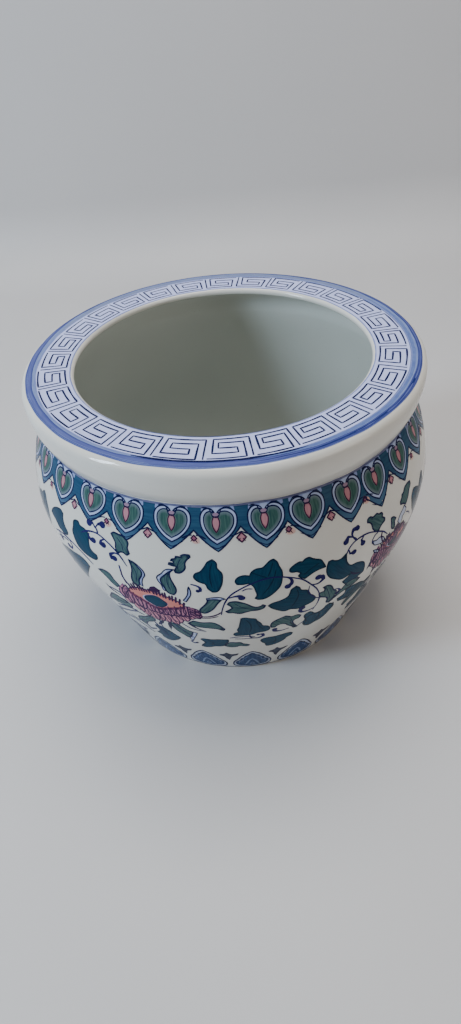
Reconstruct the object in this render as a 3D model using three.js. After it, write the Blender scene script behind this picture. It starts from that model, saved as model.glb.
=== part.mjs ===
// Porcelain flowerpot in the form of a Chinese fishbowl: a bare turned foot, a base with a drain
// hole, a bowl thrown in two halves and a flat brim with a rolled lip, luted one on another.
// Millimetres, +Z up. The origin is the centre of the foot's flat face, on the table.
import * as THREE from 'three';

// Heights of the sections, from the table up.
const footHeight = 7;
const lowerSectionHeight = 150;
const upperSectionHeight = 57.4;
const rimSectionHeight = 32.1;

// Outer radii of the pot at the foot and the neck, and how far the belly swells out past the neck.
const footRadius = 110.3;
const neckRadius = 144.3;
const bellySwell = 15.7;

// Height to which the flank of the bowl rises straight, before it turns over into the belly.
const flankHeight = 90;

// Foot ring and base.
const footWidth = 12;
const footChamfer = 1.4;
const floorThickness = 9;
const drainRadius = 10;
const drainRounding = 1.5;

// Walls of the two halves of the bowl, and the rim.
const lowerWall = 8.5;
const upperWall = 8;
const lipOverhang = 8.4;
const lipRounding = 6.2;
const brimOverhang = 23.3;
const brimThickness = 6;
const brimFillet = 14;

// Fit of the base in the bowl before the slip that lutes it.
const luteClearance = 0.3;

// Share of the swell from foot to belly that the flank gains, and the radius that the line gains for
// each unit of height where it comes in to the neck.
const flankSwellShare = 0.697183;
const neckLeanShare = -0.5;

// Handles of the curve that carries the lip out from the neck, as shares of overhang and height.
const lipRootReachShare = 0.55;
const lipRootRiseShare = 0.2;
const lipShoulderShare = 0.35;

// Fineness of the turned surfaces.
const latheSegments = 60;
const lowerSteps = 8;
const upperSteps = 6;
const lipSteps = 5;
const arcSteps = 3;
const filletSteps = 4;

const bellyRadius = neckRadius + bellySwell;
const flankSwell = flankSwellShare * (bellyRadius - footRadius);
const flankLean = flankSwell / flankHeight;
const bellyHeight = footHeight + lowerSectionHeight;
const neckHeight = bellyHeight + upperSectionHeight;
const potHeight = neckHeight + rimSectionHeight;

const glazedPorcelain = { color: 0xe6e4dc, roughness: 0.16, metalness: 0 };
const innerGlaze = { color: 0xc9cdc4, roughness: 0.2, metalness: 0 };
const bareBiscuit = { color: 0xd9cfbd, roughness: 0.85, metalness: 0 };

// Cubic between two radii at two heights, with the lean given at each end.
function leaningCurve(radiusA, heightA, leanA, radiusB, heightB, leanB, height) {
  const span = heightB - heightA;
  const s = (height - heightA) / span;
  const towardsB = s * s * (3 - 2 * s);
  const fromA = s * (1 - s) * (1 - s);
  const fromB = s * s * (s - 1);
  return radiusA + (radiusB - radiusA) * towardsB + span * (leanA * fromA + leanB * fromB);
}

// Outer line of the bowl: a straight flank, a full belly and a shoulder drawn in to the neck.
function bowlRadius(height) {
  if (height <= flankHeight) {
    return footRadius + flankLean * height;
  }
  if (height <= bellyHeight) {
    const flankRadius = footRadius + flankSwell;
    return leaningCurve(flankRadius, flankHeight, flankLean, bellyRadius, bellyHeight, 0, height);
  }
  return leaningCurve(bellyRadius, bellyHeight, 0, neckRadius, neckHeight, neckLeanShare, height);
}

// Points of an arc, from one angle to another in degrees, with both ends.
function arcPoints(centreRadius, centreHeight, radius, fromDegrees, toDegrees, steps) {
  const points = [];
  for (let i = 0; i <= steps; i += 1) {
    const angle = THREE.MathUtils.degToRad(fromDegrees + ((toDegrees - fromDegrees) * i) / steps);
    const x = centreRadius + radius * Math.cos(angle);
    const y = centreHeight + radius * Math.sin(angle);
    points.push(new THREE.Vector2(x, y));
  }
  return points;
}

// Turns a closed outline of radius and height round the pot's axis.
function turned(name, outline, look) {
  const profile = [...outline, outline[0].clone()];
  const geometry = new THREE.LatheGeometry(profile, latheSegments);
  geometry.rotateX(Math.PI / 2);
  const mesh = new THREE.Mesh(geometry, new THREE.MeshStandardMaterial(look));
  mesh.name = name;
  return mesh;
}

// The turned foot, left bare of glaze, with its outer and inner edges chamfered.
function footRing() {
  const innerRadius = footRadius - footWidth;
  const outline = [
    new THREE.Vector2(innerRadius + footChamfer, 0),
    new THREE.Vector2(footRadius - footChamfer, 0),
    new THREE.Vector2(bowlRadius(footChamfer), footChamfer),
    new THREE.Vector2(bowlRadius(footHeight), footHeight),
    new THREE.Vector2(innerRadius, footHeight),
    new THREE.Vector2(innerRadius, footChamfer),
  ];
  return turned('foot_ring', outline, bareBiscuit);
}

// The base: a disc that lies on the foot inside the wall, with a rounded drain hole.
function floorDisc() {
  const topHeight = footHeight + floorThickness;
  const wallGap = lowerWall + luteClearance;
  const drainEdge = drainRadius + drainRounding;
  const outline = [
    new THREE.Vector2(drainEdge, footHeight),
    new THREE.Vector2(bowlRadius(footHeight) - wallGap, footHeight),
    new THREE.Vector2(bowlRadius(topHeight) - wallGap, topHeight),
    ...arcPoints(drainEdge, topHeight - drainRounding, drainRounding, 90, 180, arcSteps),
    new THREE.Vector2(drainRadius, footHeight + drainRounding),
  ];
  return turned('floor_disc', outline, innerGlaze);
}

// One thrown half of the bowl between two heights, with an even wall.
function bowlSection(name, fromHeight, toHeight, wall, steps) {
  const outer = [];
  const inner = [];
  for (let i = 0; i <= steps; i += 1) {
    const height = fromHeight + ((toHeight - fromHeight) * i) / steps;
    outer.push(new THREE.Vector2(bowlRadius(height), height));
    inner.unshift(new THREE.Vector2(bowlRadius(height) - wall, height));
  }
  return turned(name, [...outer, ...inner], glazedPorcelain);
}

// The rim: the lip swings out from the neck and rolls over into a flat brim that reaches inwards.
function rimRing() {
  const innerWallRadius = neckRadius - upperWall;
  const mouthRadius = innerWallRadius - brimOverhang;
  const lipRadius = neckRadius + lipOverhang;
  const lipHeight = potHeight - lipRounding;
  const lipRise = lipHeight - neckHeight;
  const swing = new THREE.CubicBezierCurve(
    new THREE.Vector2(neckRadius, neckHeight),
    new THREE.Vector2(neckRadius + lipOverhang * lipRootReachShare, neckHeight + lipRise * lipRootRiseShare),
    new THREE.Vector2(lipRadius, lipHeight - lipRise * lipShoulderShare),
    new THREE.Vector2(lipRadius, lipHeight),
  );
  const edgeRadius = brimThickness / 2;
  const edgeHeight = potHeight - edgeRadius;
  const underside = potHeight - brimThickness;
  const outline = [
    ...swing.getPoints(lipSteps).slice(0, -1),
    ...arcPoints(lipRadius - lipRounding, lipHeight, lipRounding, 0, 90, arcSteps),
    ...arcPoints(mouthRadius + edgeRadius, edgeHeight, edgeRadius, 90, 270, filletSteps),
    ...arcPoints(innerWallRadius - brimFillet, underside - brimFillet, brimFillet, 90, 0, filletSteps),
    new THREE.Vector2(innerWallRadius, neckHeight),
  ];
  return turned('rim_ring', outline, glazedPorcelain);
}

const flowerpot = new THREE.Group();
flowerpot.add(footRing());
flowerpot.add(floorDisc());
flowerpot.add(bowlSection('lower_bowl', footHeight, bellyHeight, lowerWall, lowerSteps));
flowerpot.add(bowlSection('upper_bowl', bellyHeight, neckHeight, upperWall, upperSteps));
flowerpot.add(rimRing());

export default flowerpot;
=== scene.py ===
# Porcelain fishbowl flowerpot, seen from above with its near side towards the camera.
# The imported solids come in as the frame, the five clay sections are turned again here in full, and the
# painting lies on the clay as thin coats of colour. Outlines are in millimetres, objects in metres.
import math
import random

import bpy
from mathutils import Matrix, Vector, noise
from mathutils.geometry import delaunay_2d_cdt


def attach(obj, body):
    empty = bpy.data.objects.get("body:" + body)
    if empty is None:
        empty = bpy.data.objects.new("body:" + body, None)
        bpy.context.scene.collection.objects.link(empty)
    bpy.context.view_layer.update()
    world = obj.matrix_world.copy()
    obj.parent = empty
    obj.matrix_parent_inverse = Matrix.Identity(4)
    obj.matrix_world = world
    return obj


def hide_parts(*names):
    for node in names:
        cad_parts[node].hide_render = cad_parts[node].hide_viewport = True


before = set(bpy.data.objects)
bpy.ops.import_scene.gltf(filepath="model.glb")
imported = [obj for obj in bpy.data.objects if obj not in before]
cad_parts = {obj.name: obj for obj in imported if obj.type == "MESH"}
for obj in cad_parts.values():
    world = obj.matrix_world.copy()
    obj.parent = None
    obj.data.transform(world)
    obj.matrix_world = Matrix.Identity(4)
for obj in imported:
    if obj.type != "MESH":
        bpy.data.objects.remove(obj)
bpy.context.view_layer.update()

# Camera: held at arm's length, looking down at the brim and rolled a little. Its place, its turn and its
# lens were fitted to the pot's outline.
camera_place = Vector((0.0, -0.4837, 0.4981))
camera_yaw = math.radians(-0.52)
camera_pitch = math.radians(40.56)
camera_roll = math.radians(-5.14)
level = math.cos(camera_pitch)
ahead = Vector((math.sin(camera_yaw) * level, math.cos(camera_yaw) * level, -math.sin(camera_pitch)))
level_right = Vector((math.cos(camera_yaw), -math.sin(camera_yaw), 0.0))
level_up = level_right.cross(ahead)
camera_right = math.cos(camera_roll) * level_right + math.sin(camera_roll) * level_up
camera_up = math.cos(camera_roll) * level_up - math.sin(camera_roll) * level_right
camera = bpy.data.cameras.new("camera")
camera.lens = 24.49
camera.sensor_width = 36.0
camera_object = bpy.data.objects.new("camera", camera)
camera_turn = Matrix((camera_right, camera_up, -ahead)).transposed().to_4x4()
camera_object.matrix_world = Matrix.Translation(camera_place) @ camera_turn
bpy.context.collection.objects.link(camera_object)
bpy.context.scene.camera = camera_object

# Light: a tall window on the left and a little in front, a soft ceiling, and a wall at the front right
# that sends some of it back. The lamps and the ceiling light the pot, and a pale room shows behind it.
room_tint = (1.0, 0.95, 0.88, 1.0)
ceiling_side = (-0.15, 0.3, 0.94)
dim_room = 0.045
bright_room = 0.42


def add_node(tree, kind, sockets=None, **settings):
    """Adds a node with its settings, and with values on sockets that are given by name or number."""
    node = tree.nodes.new(kind)
    for label, value in settings.items():
        setattr(node, label, value)
    for label, value in (sockets or {}).items():
        node.inputs[label].default_value = value
    return node


def wire(tree, *wires):
    """Joins nodes; each wire reads (node, its output, next node, its input)."""
    for giver, output, taker, socket in wires:
        tree.links.new(giver.outputs[output], taker.inputs[socket])


world = bpy.data.worlds.new("room")
world.use_nodes = True
room = world.node_tree
backcloth = room.nodes["Background"]
backcloth.inputs["Color"].default_value = room_tint
outlook = add_node(room, "ShaderNodeTexCoord")
towards_light = add_node(room, "ShaderNodeVectorMath", operation="DOT_PRODUCT")
towards_light.inputs[1].default_value = ceiling_side
room_range = {"To Min": dim_room, "To Max": bright_room}
overhead = add_node(room, "ShaderNodeMapRange", room_range, interpolation_type="SMOOTHSTEP")
view_ray = add_node(room, "ShaderNodeLightPath")
mirrored = add_node(room, "ShaderNodeMath", operation="MAXIMUM")
seen = add_node(room, "ShaderNodeMath", operation="MAXIMUM")
pale_room = add_node(room, "ShaderNodeMix", {"B": bright_room})
wire(
    room,
    (outlook, "Generated", towards_light, 0),
    (towards_light, "Value", overhead, "Value"),
    (view_ray, "Is Glossy Ray", mirrored, 0),
    (view_ray, "Is Transmission Ray", mirrored, 1),
    (view_ray, "Is Camera Ray", seen, 0),
    (mirrored, "Value", seen, 1),
    (seen, "Value", pale_room, "Factor"),
    (overhead, "Result", pale_room, "A"),
    (pale_room, "Result", backcloth, "Strength"),
)
bpy.context.scene.world = world

# Each lamp: its place, the point it faces, its width and height, its power and its tint.
lamps = {
    "window": ((-1.5, -0.58, 0.98), (0.0, 0.0, 0.17), 0.3, 0.9, 31.0, (0.67, 0.825, 1.0)),
    "ceiling": ((0.05, 0.3, 1.85), (0.0, 0.0, 0.1), 1.0, 1.0, 24.0, (1.0, 0.985, 0.97)),
    "lit_wall": ((1.35, -0.95, 0.6), (0.0, 0.0, 0.17), 1.0, 0.8, 5.8, (1.0, 0.91, 0.82)),
}
for name, (place, aim, width, height, power, tint) in lamps.items():
    lamp = bpy.data.lights.new(name, "AREA")
    lamp.shape = "RECTANGLE"
    lamp.size = width
    lamp.size_y = height
    lamp.energy = power
    lamp.color = tint
    holder = bpy.data.objects.new(name, lamp)
    holder.location = place
    holder.rotation_euler = (Vector(aim) - Vector(place)).to_track_quat("-Z", "Y").to_euler()
    bpy.context.collection.objects.link(holder)

# Board: one pale sheet that the pot stands on, bent up behind it in a sweep into a plain wall. It is
# painted a matt grey with a faint cloud in it.
board_front = -1.1
board_back = 0.85
board_half_width = 1.6
sweep_radius = 0.12
sweep_steps = 8
wall_top = 1.5


def backdrop():
    """Bends the far edge of a flat sheet up round the sweep and draws it on to the wall's top."""
    flat_back = board_back - sweep_radius
    bpy.ops.object.select_all(action="DESELECT")
    bpy.ops.mesh.primitive_plane_add(size=2.0)
    sheet = bpy.context.object
    sheet.name = sheet.data.name = "backdrop"
    for vertex in sheet.data.vertices:
        vertex.co.x *= board_half_width
        vertex.co.y = board_front if vertex.co.y < 0 else flat_back
    bpy.ops.object.mode_set(mode="EDIT")
    bpy.ops.mesh.select_all(action="DESELECT")
    bpy.ops.object.mode_set(mode="OBJECT")
    for edge in sheet.data.edges:
        edge.select = all(sheet.data.vertices[i].co.y > 0 for i in edge.vertices)
    bpy.ops.object.mode_set(mode="EDIT")
    bpy.ops.mesh.select_mode(type="EDGE")
    middle = (0.0, flat_back, sweep_radius)
    bpy.ops.mesh.spin(steps=sweep_steps, angle=math.pi / 2, center=middle, axis=(-1, 0, 0))
    rise = {"value": (0.0, 0.0, wall_top - sweep_radius)}
    bpy.ops.mesh.extrude_region_move(TRANSFORM_OT_translate=rise)
    bpy.ops.mesh.select_mode(type="VERT")
    bpy.ops.object.mode_set(mode="OBJECT")
    bpy.ops.object.shade_smooth()
    return sheet


def new_material(name, sockets):
    """A material with values on its Principled BSDF; gives its node tree and that shader too."""
    material = bpy.data.materials.new(name)
    material.use_nodes = True
    shader = material.node_tree.nodes["Principled BSDF"]
    for label, value in sockets.items():
        shader.inputs[label].default_value = value
    return material, material.node_tree, shader


def board_paint():
    material, tree, shader = new_material("pale_board", {"Roughness": 0.55})
    place = add_node(tree, "ShaderNodeTexCoord")
    cloud = add_node(tree, "ShaderNodeTexNoise", {"Scale": 3.0})
    greys = {"A": (0.54, 0.53, 0.53, 1.0), "B": (0.6, 0.585, 0.58, 1.0)}
    tint = add_node(tree, "ShaderNodeMix", greys, data_type="RGBA")
    wire(
        tree,
        (place, "Object", cloud, "Vector"),
        (cloud, "Fac", tint, "Factor"),
        (tint, "Result", shader, "Base Color"),
    )
    return material


board = backdrop()
board.data.materials.append(board_paint())

# Foot ring: the turned foot, wiped clean of glaze before the firing, so the dry body shows. Its edges
# are softened with a wet sponge, and the turning tool leaves fine rings on it.
MM = 0.001
foot_radius = 110.3
foot_height = 7.0
foot_width = 12.0
foot_chamfer = 1.4
chamfer_steps = 5
flank_lean = 0.385
flank_height = 90.0
flank_radius = foot_radius + flank_lean * flank_height
belly_radius = 160.0
belly_height = 157.0
neck_radius = 144.3
neck_height = 214.4
neck_lean = -0.5
turning_steps = 256
weld_distance = 1e-6
turned_crease = math.radians(32)


def leaning_curve(radius_a, height_a, lean_a, radius_b, height_b, lean_b, height):
    """Cubic between two radii at two heights, with the lean given at each end."""
    span = height_b - height_a
    s = (height - height_a) / span
    along = radius_a + (radius_b - radius_a) * s * s * (3 - 2 * s)
    return along + span * (lean_a * s * (1 - s) ** 2 + lean_b * s * s * (s - 1))


def bowl_radius(height):
    """Outer line of the bowl: a straight flank, a full belly and a shoulder drawn in to the neck."""
    if height <= flank_height:
        return foot_radius + flank_lean * height
    belly = (belly_radius, belly_height, 0.0)
    if height <= belly_height:
        return leaning_curve(flank_radius, flank_height, flank_lean, *belly, height)
    return leaning_curve(*belly, neck_radius, neck_height, neck_lean, height)


def arc(centre_radius, centre_height, radius, from_degrees, to_degrees, steps):
    points = []
    for i in range(steps + 1):
        angle = math.radians(from_degrees + (to_degrees - from_degrees) * i / steps)
        points.append((centre_radius + radius * math.cos(angle), centre_height + radius * math.sin(angle)))
    return points


def turn_on_wheel(name, outline):
    """Turns a closed outline of (radius, height) round the pot's axis."""
    bpy.ops.object.select_all(action="DESELECT")
    bpy.ops.mesh.primitive_circle_add(vertices=len(outline), radius=0.01)
    clay = bpy.context.object
    clay.name = clay.data.name = name
    for vertex, (radius, height) in zip(clay.data.vertices, outline):
        vertex.co = (radius * MM, 0.0, height * MM)
    bpy.ops.object.mode_set(mode="EDIT")
    bpy.ops.mesh.select_all(action="SELECT")
    bpy.ops.mesh.spin(steps=turning_steps, angle=math.tau, center=(0, 0, 0), axis=(0, 0, 1))
    bpy.ops.mesh.select_all(action="SELECT")
    bpy.ops.mesh.remove_doubles(threshold=weld_distance)
    bpy.ops.mesh.normals_make_consistent(inside=False)
    bpy.ops.object.mode_set(mode="OBJECT")
    bpy.ops.object.shade_smooth_by_angle(angle=turned_crease)
    return clay


def new_group(name, inputs, outputs):
    """A node group; each input has a name, a kind and a value, and each output a name and a kind."""
    group = bpy.data.node_groups.new(name, "ShaderNodeTree")
    for label, kind, value in inputs:
        group.interface.new_socket(label, in_out="INPUT", socket_type=kind).default_value = value
    for label, kind in outputs:
        group.interface.new_socket(label, in_out="OUTPUT", socket_type=kind)
    return group, group.nodes.new("NodeGroupInput"), group.nodes.new("NodeGroupOutput")


def wheel_marks_group():
    """Bump of the turning tool, as rings of uneven depth up the pot, and the grain of the clay."""
    depths = [("Ring depth", "NodeSocketFloat", 1.0), ("Grain depth", "NodeSocketFloat", 1.0)]
    group, inward, outward = new_group("wheel_marks", depths, [("Height", "NodeSocketFloat")])
    place = add_node(group, "ShaderNodeTexCoord")
    squeeze = add_node(group, "ShaderNodeMapping", {"Scale": (6.0, 6.0, 260.0)})
    rings = add_node(group, "ShaderNodeTexNoise", {"Scale": 1.0, "Detail": 3.0})
    grain = add_node(group, "ShaderNodeTexNoise", {"Scale": 1400.0})
    deep_rings = add_node(group, "ShaderNodeMath", operation="MULTIPLY")
    both = add_node(group, "ShaderNodeMath", operation="MULTIPLY_ADD")
    wire(
        group,
        (place, "Object", squeeze, "Vector"),
        (squeeze, "Vector", rings, "Vector"),
        (place, "Object", grain, "Vector"),
        (rings, "Fac", deep_rings, 0),
        (inward, "Ring depth", deep_rings, 1),
        (grain, "Fac", both, 0),
        (inward, "Grain depth", both, 1),
        (deep_rings, "Value", both, 2),
        (both, "Value", outward, "Height"),
    )
    return group


wheel_marks = wheel_marks_group()


def bare_biscuit():
    """Dry unglazed porcelain, a little stained, with the rings of the turning tool."""
    material, tree, shader = new_material("bare_biscuit", {"Roughness": 0.82})
    marks = add_node(tree, "ShaderNodeGroup", {"Ring depth": 0.8, "Grain depth": 0.5}, node_tree=wheel_marks)
    bump = add_node(tree, "ShaderNodeBump", {"Distance": 0.0004, "Strength": 0.7})
    place = add_node(tree, "ShaderNodeTexCoord")
    stain = add_node(tree, "ShaderNodeTexNoise", {"Scale": 45.0, "Detail": 6.0})
    tint = add_node(tree, "ShaderNodeValToRGB")
    stained, clean = tint.color_ramp.elements
    stained.position, stained.color = 0.3, (0.46, 0.38, 0.28, 1.0)
    clean.position, clean.color = 0.62, (0.66, 0.59, 0.49, 1.0)
    wire(
        tree,
        (place, "Object", stain, "Vector"),
        (stain, "Fac", tint, "Fac"),
        (tint, "Color", shader, "Base Color"),
        (marks, "Height", bump, "Height"),
        (bump, "Normal", shader, "Normal"),
    )
    return material


foot_inner = foot_radius - foot_width
foot_rounding = foot_radius - foot_chamfer + flank_lean * foot_chamfer
foot_outline = [
    *arc(foot_inner + foot_chamfer, foot_chamfer, foot_chamfer, 180, 270, chamfer_steps),
    *arc(foot_rounding, foot_chamfer, foot_chamfer, 270, 360, chamfer_steps),
    (bowl_radius(foot_height * 0.5), foot_height * 0.5),
    (bowl_radius(foot_height), foot_height),
    (foot_inner, foot_height),
    (foot_inner, foot_height * 0.5),
]
foot_ring = turn_on_wheel("turned_foot", foot_outline)
foot_ring.data.materials.append(bare_biscuit())
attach(foot_ring, "root")
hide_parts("foot_ring")

# Base: a slab of clay luted inside the wall on top of the foot, with a drain hole cut through it. Slip
# fills the gap to the wall and is wiped up it in a cove, and the glaze of the inside covers both.
floor_thickness = 9.0
drain_radius = 10.0
drain_rounding = 1.5
drain_steps = 6
lower_wall = 8.5
upper_wall = 8.0
lute_clearance = 0.3
base_sag = 0.6
sag_width = 26.0
slip_rise = 6.0
slip_overlap = 0.1
# Points of the cove: one a little under its top edge and three over the base, each with how far it lies
# in from the wall and up from that edge or from the base.
slip_edge = (0.7, -1.6)
slip_cove = [(1.6, 2.4), (4.2, 0.8), (8.0, 0.1)]


def glaze_skin_group():
    """Skin of a fired glaze: slow waves, fine orange peel, pooled tint and a few iron specks."""
    inputs = [
        ("Glaze", "NodeSocketColor", (0.8, 0.8, 0.8, 1.0)),
        ("Pooled glaze", "NodeSocketColor", (0.7, 0.7, 0.7, 1.0)),
        ("Speck", "NodeSocketColor", (0.2, 0.15, 0.1, 1.0)),
        ("Speck amount", "NodeSocketFloat", 1.0),
        ("Dry roughness", "NodeSocketFloat", 0.16),
        ("Wave strength", "NodeSocketFloat", 0.5),
    ]
    outputs = [
        ("Color", "NodeSocketColor"),
        ("Roughness", "NodeSocketFloat"),
        ("Normal", "NodeSocketVector"),
    ]
    group, inward, outward = new_group("glaze_skin", inputs, outputs)
    place = add_node(group, "ShaderNodeTexCoord")
    waves = add_node(group, "ShaderNodeTexNoise", {"Scale": 28.0, "Detail": 2.0})
    peel = add_node(group, "ShaderNodeTexNoise", {"Scale": 520.0, "Detail": 1.0})
    faint = {"Ring depth": 0.05, "Grain depth": 0.0}
    rings = add_node(group, "ShaderNodeGroup", faint, node_tree=wheel_marks)
    wave_share = add_node(group, "ShaderNodeMath", {1: 0.35}, operation="MULTIPLY_ADD")
    peel_share = add_node(group, "ShaderNodeMath", {1: 0.012}, operation="MULTIPLY_ADD")
    bump = add_node(group, "ShaderNodeBump", {"Distance": 0.002})
    pooling = add_node(group, "ShaderNodeTexNoise", {"Scale": 14.0, "Detail": 4.0})
    glaze = add_node(group, "ShaderNodeMix", data_type="RGBA")
    iron = add_node(group, "ShaderNodeTexVoronoi", {"Scale": 95.0})
    near_iron = add_node(group, "ShaderNodeMath", {1: 0.028}, operation="LESS_THAN")
    some_iron = add_node(group, "ShaderNodeMath", operation="MULTIPLY")
    specked = add_node(group, "ShaderNodeMix", data_type="RGBA")
    gloss = add_node(group, "ShaderNodeMath", {1: 0.08}, operation="MULTIPLY_ADD")
    wire(
        group,
        *[(place, "Object", texture, "Vector") for texture in (waves, peel, pooling, iron)],
        (waves, "Fac", wave_share, 0),
        (rings, "Height", wave_share, 2),
        (peel, "Fac", peel_share, 0),
        (wave_share, "Value", peel_share, 2),
        (peel_share, "Value", bump, "Height"),
        (inward, "Wave strength", bump, "Strength"),
        (bump, "Normal", outward, "Normal"),
        (inward, "Glaze", glaze, "A"),
        (inward, "Pooled glaze", glaze, "B"),
        (pooling, "Fac", glaze, "Factor"),
        (iron, "Distance", near_iron, 0),
        (near_iron, "Value", some_iron, 0),
        (inward, "Speck amount", some_iron, 1),
        (some_iron, "Value", specked, "Factor"),
        (glaze, "Result", specked, "A"),
        (inward, "Speck", specked, "B"),
        (specked, "Result", outward, "Color"),
        (pooling, "Fac", gloss, 0),
        (inward, "Dry roughness", gloss, 2),
        (gloss, "Value", outward, "Roughness"),
    )
    return group


glaze_skin = glaze_skin_group()


def glazed(name, glaze, pooled, speck_amount, roughness, wave_strength):
    """A fired glaze of two tints, the second where the glaze lies thicker."""
    material, tree, shader = new_material(name, {"Specular IOR Level": 0.4})
    looks = {
        "Glaze": (*glaze, 1.0),
        "Pooled glaze": (*pooled, 1.0),
        "Speck amount": speck_amount,
        "Dry roughness": roughness,
        "Wave strength": wave_strength,
    }
    skin = add_node(tree, "ShaderNodeGroup", looks, node_tree=glaze_skin)
    wire(
        tree,
        (skin, "Color", shader, "Base Color"),
        (skin, "Roughness", shader, "Roughness"),
        (skin, "Normal", shader, "Normal"),
    )
    return material


inside_glaze = glazed(
    "inside_glaze",
    glaze=(0.575, 0.6, 0.56),
    pooled=(0.515, 0.535, 0.495),
    speck_amount=0.5,
    roughness=0.16,
    wave_strength=0.5,
)
white_glaze = glazed(
    "white_glaze",
    glaze=(0.71, 0.695, 0.645),
    pooled=(0.66, 0.65, 0.6),
    speck_amount=0.45,
    roughness=0.05,
    wave_strength=0.35,
)


def glaze_part(clay, glaze, covers):
    """Puts a second glaze on the faces for which covers(radius, height) is true."""
    clay.data.materials.append(glaze)
    for face in clay.data.polygons:
        if covers(math.hypot(face.center.x, face.center.y) / MM, face.center.z / MM):
            face.material_index = 1


# The outer glaze runs down over the foot and stops a little above its standing face.
glaze_line = 1.5
glazed_edge = foot_radius - 0.5
glaze_part(foot_ring, white_glaze, lambda radius, height: radius > glazed_edge and height > glaze_line)

floor_top = foot_height + floor_thickness
slip_top = floor_top + slip_rise
wall_gap = lower_wall + lute_clearance
drain_edge = drain_radius + drain_rounding
slip_wall = bowl_radius(slip_top) - lower_wall
floor_wall = bowl_radius(floor_top) - lower_wall
floor_outline = [
    (drain_edge, foot_height),
    (bowl_radius(foot_height) - wall_gap, foot_height),
    (bowl_radius(floor_top) - wall_gap, floor_top),
    (slip_wall + slip_overlap, slip_top),
    (slip_wall - slip_edge[0], slip_top + slip_edge[1]),
    *[(floor_wall - inward, floor_top + up) for inward, up in slip_cove],
    (bowl_radius(floor_top) - wall_gap - sag_width, floor_top - base_sag),
    *arc(drain_edge, floor_top - base_sag - drain_rounding, drain_rounding, 90, 180, drain_steps),
    *arc(drain_edge, foot_height + drain_rounding, drain_rounding, 180, 270, drain_steps)[:-1],
]
floor_disc = turn_on_wheel("luted_base", floor_outline)
floor_disc.data.materials.append(inside_glaze)
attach(floor_disc, "root")
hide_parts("floor_disc")

# Bowl: two thrown halves luted edge to edge at the belly, glazed clear white outside and pale
# grey-green inside. The joint is scraped and glazed over, so it doesn't show.
ring_pitch = 3.0
joint_ring = 0.25
wall_blend = 24.0
neck_thinning = 1.2
neck_blend = 14.0


def bowl_wall(height):
    """The wall thins a little above the joint, without a step, and again where it meets the rim."""
    share = min(1.0, max(0.0, (height - belly_height) / wall_blend))
    near_rim = max(0.0, (height - neck_height + neck_blend) / neck_blend)
    wall = lower_wall + (upper_wall - lower_wall) * share * share * (3 - 2 * share)
    return wall - neck_thinning * near_rim * near_rim


def inside_bowl(radius, height):
    return radius < bowl_radius(height) - bowl_wall(height) * 0.5


def thrown_half(name, from_height, to_height):
    rings = round((to_height - from_height) / ring_pitch)
    heights = [from_height + (to_height - from_height) * i / rings for i in range(rings + 1)]
    heights.insert(1, from_height + joint_ring)
    heights.insert(-1, to_height - joint_ring)
    outer = [(bowl_radius(height), height) for height in heights]
    inner = [(bowl_radius(height) - bowl_wall(height), height) for height in reversed(heights)]
    half = turn_on_wheel(name, outer + inner)
    half.data.materials.append(white_glaze)
    glaze_part(half, inside_glaze, inside_bowl)
    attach(half, "root")
    return half


lower_bowl = thrown_half("lower_bowl_thrown", foot_height, belly_height)
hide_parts("lower_bowl")
upper_bowl = thrown_half("upper_bowl_thrown", belly_height, neck_height)
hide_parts("upper_bowl")

# Rim: a thick rolled lip and a flat brim, turned as one ring and luted on the neck. The brim's upper
# face and its inner edge are white, and its underside carries the glaze of the inside.
pot_height = 246.5
lip_overhang = 8.4
lip_rounding = 6.2
brim_overhang = 23.3
brim_thickness = 6.0
brim_fillet = 14.0
lip_root_reach_share = 0.55
lip_root_rise_share = 0.2
lip_shoulder_share = 0.35
lip_steps, roll_steps, flat_steps, fillet_steps, throat_steps = 18, 14, 8, 10, 8
lip_radius = neck_radius + lip_overhang
lip_height = pot_height - lip_rounding
flat_edge = lip_radius - lip_rounding
inner_wall_radius = neck_radius - upper_wall
edge_radius = brim_thickness / 2
mouth_edge = inner_wall_radius - brim_overhang + edge_radius


def bezier(a, b, c, d, steps):
    points = []
    for i in range(steps + 1):
        t = i / steps
        weights = ((1 - t) ** 3, 3 * t * (1 - t) ** 2, 3 * t * t * (1 - t), t**3)
        points.append(tuple(sum(w * p[k] for w, p in zip(weights, (a, b, c, d))) for k in (0, 1)))
    return points


lip_rise = lip_height - neck_height
lip_line = bezier(
    (neck_radius, neck_height),
    (neck_radius + lip_overhang * lip_root_reach_share, neck_height + lip_rise * lip_root_rise_share),
    (lip_radius, lip_height - lip_rise * lip_shoulder_share),
    (lip_radius, lip_height),
    lip_steps,
)
brim_underside = pot_height - brim_thickness
joint_inside = inner_wall_radius + neck_thinning
# The throat swings from the brim's fillet out to the thinned wall; these place its two handles.
throat_lean = 1.0
throat_handles = (7.6, 3.1)
throat_line = bezier(
    (inner_wall_radius, brim_underside - brim_fillet),
    (inner_wall_radius, neck_height + throat_handles[0]),
    (joint_inside - throat_lean, neck_height + throat_handles[1]),
    (joint_inside, neck_height),
    throat_steps,
)
fillet_middle = (inner_wall_radius - brim_fillet, brim_underside - brim_fillet)
rim_outline = [
    *lip_line[:-1],
    *arc(flat_edge, lip_height, lip_rounding, 0, 90, roll_steps),
    *[(flat_edge + (mouth_edge - flat_edge) * i / flat_steps, pot_height) for i in range(1, flat_steps)],
    *arc(mouth_edge, pot_height - edge_radius, edge_radius, 90, 270, roll_steps),
    *arc(*fillet_middle, brim_fillet, 90, 0, fillet_steps),
    *throat_line[1:],
]
rim_ring = turn_on_wheel("rolled_rim", rim_outline)
rim_ring.data.materials.append(white_glaze)
throat_edge = joint_inside + 0.5
under_brim = pot_height - edge_radius - 1.2
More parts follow.
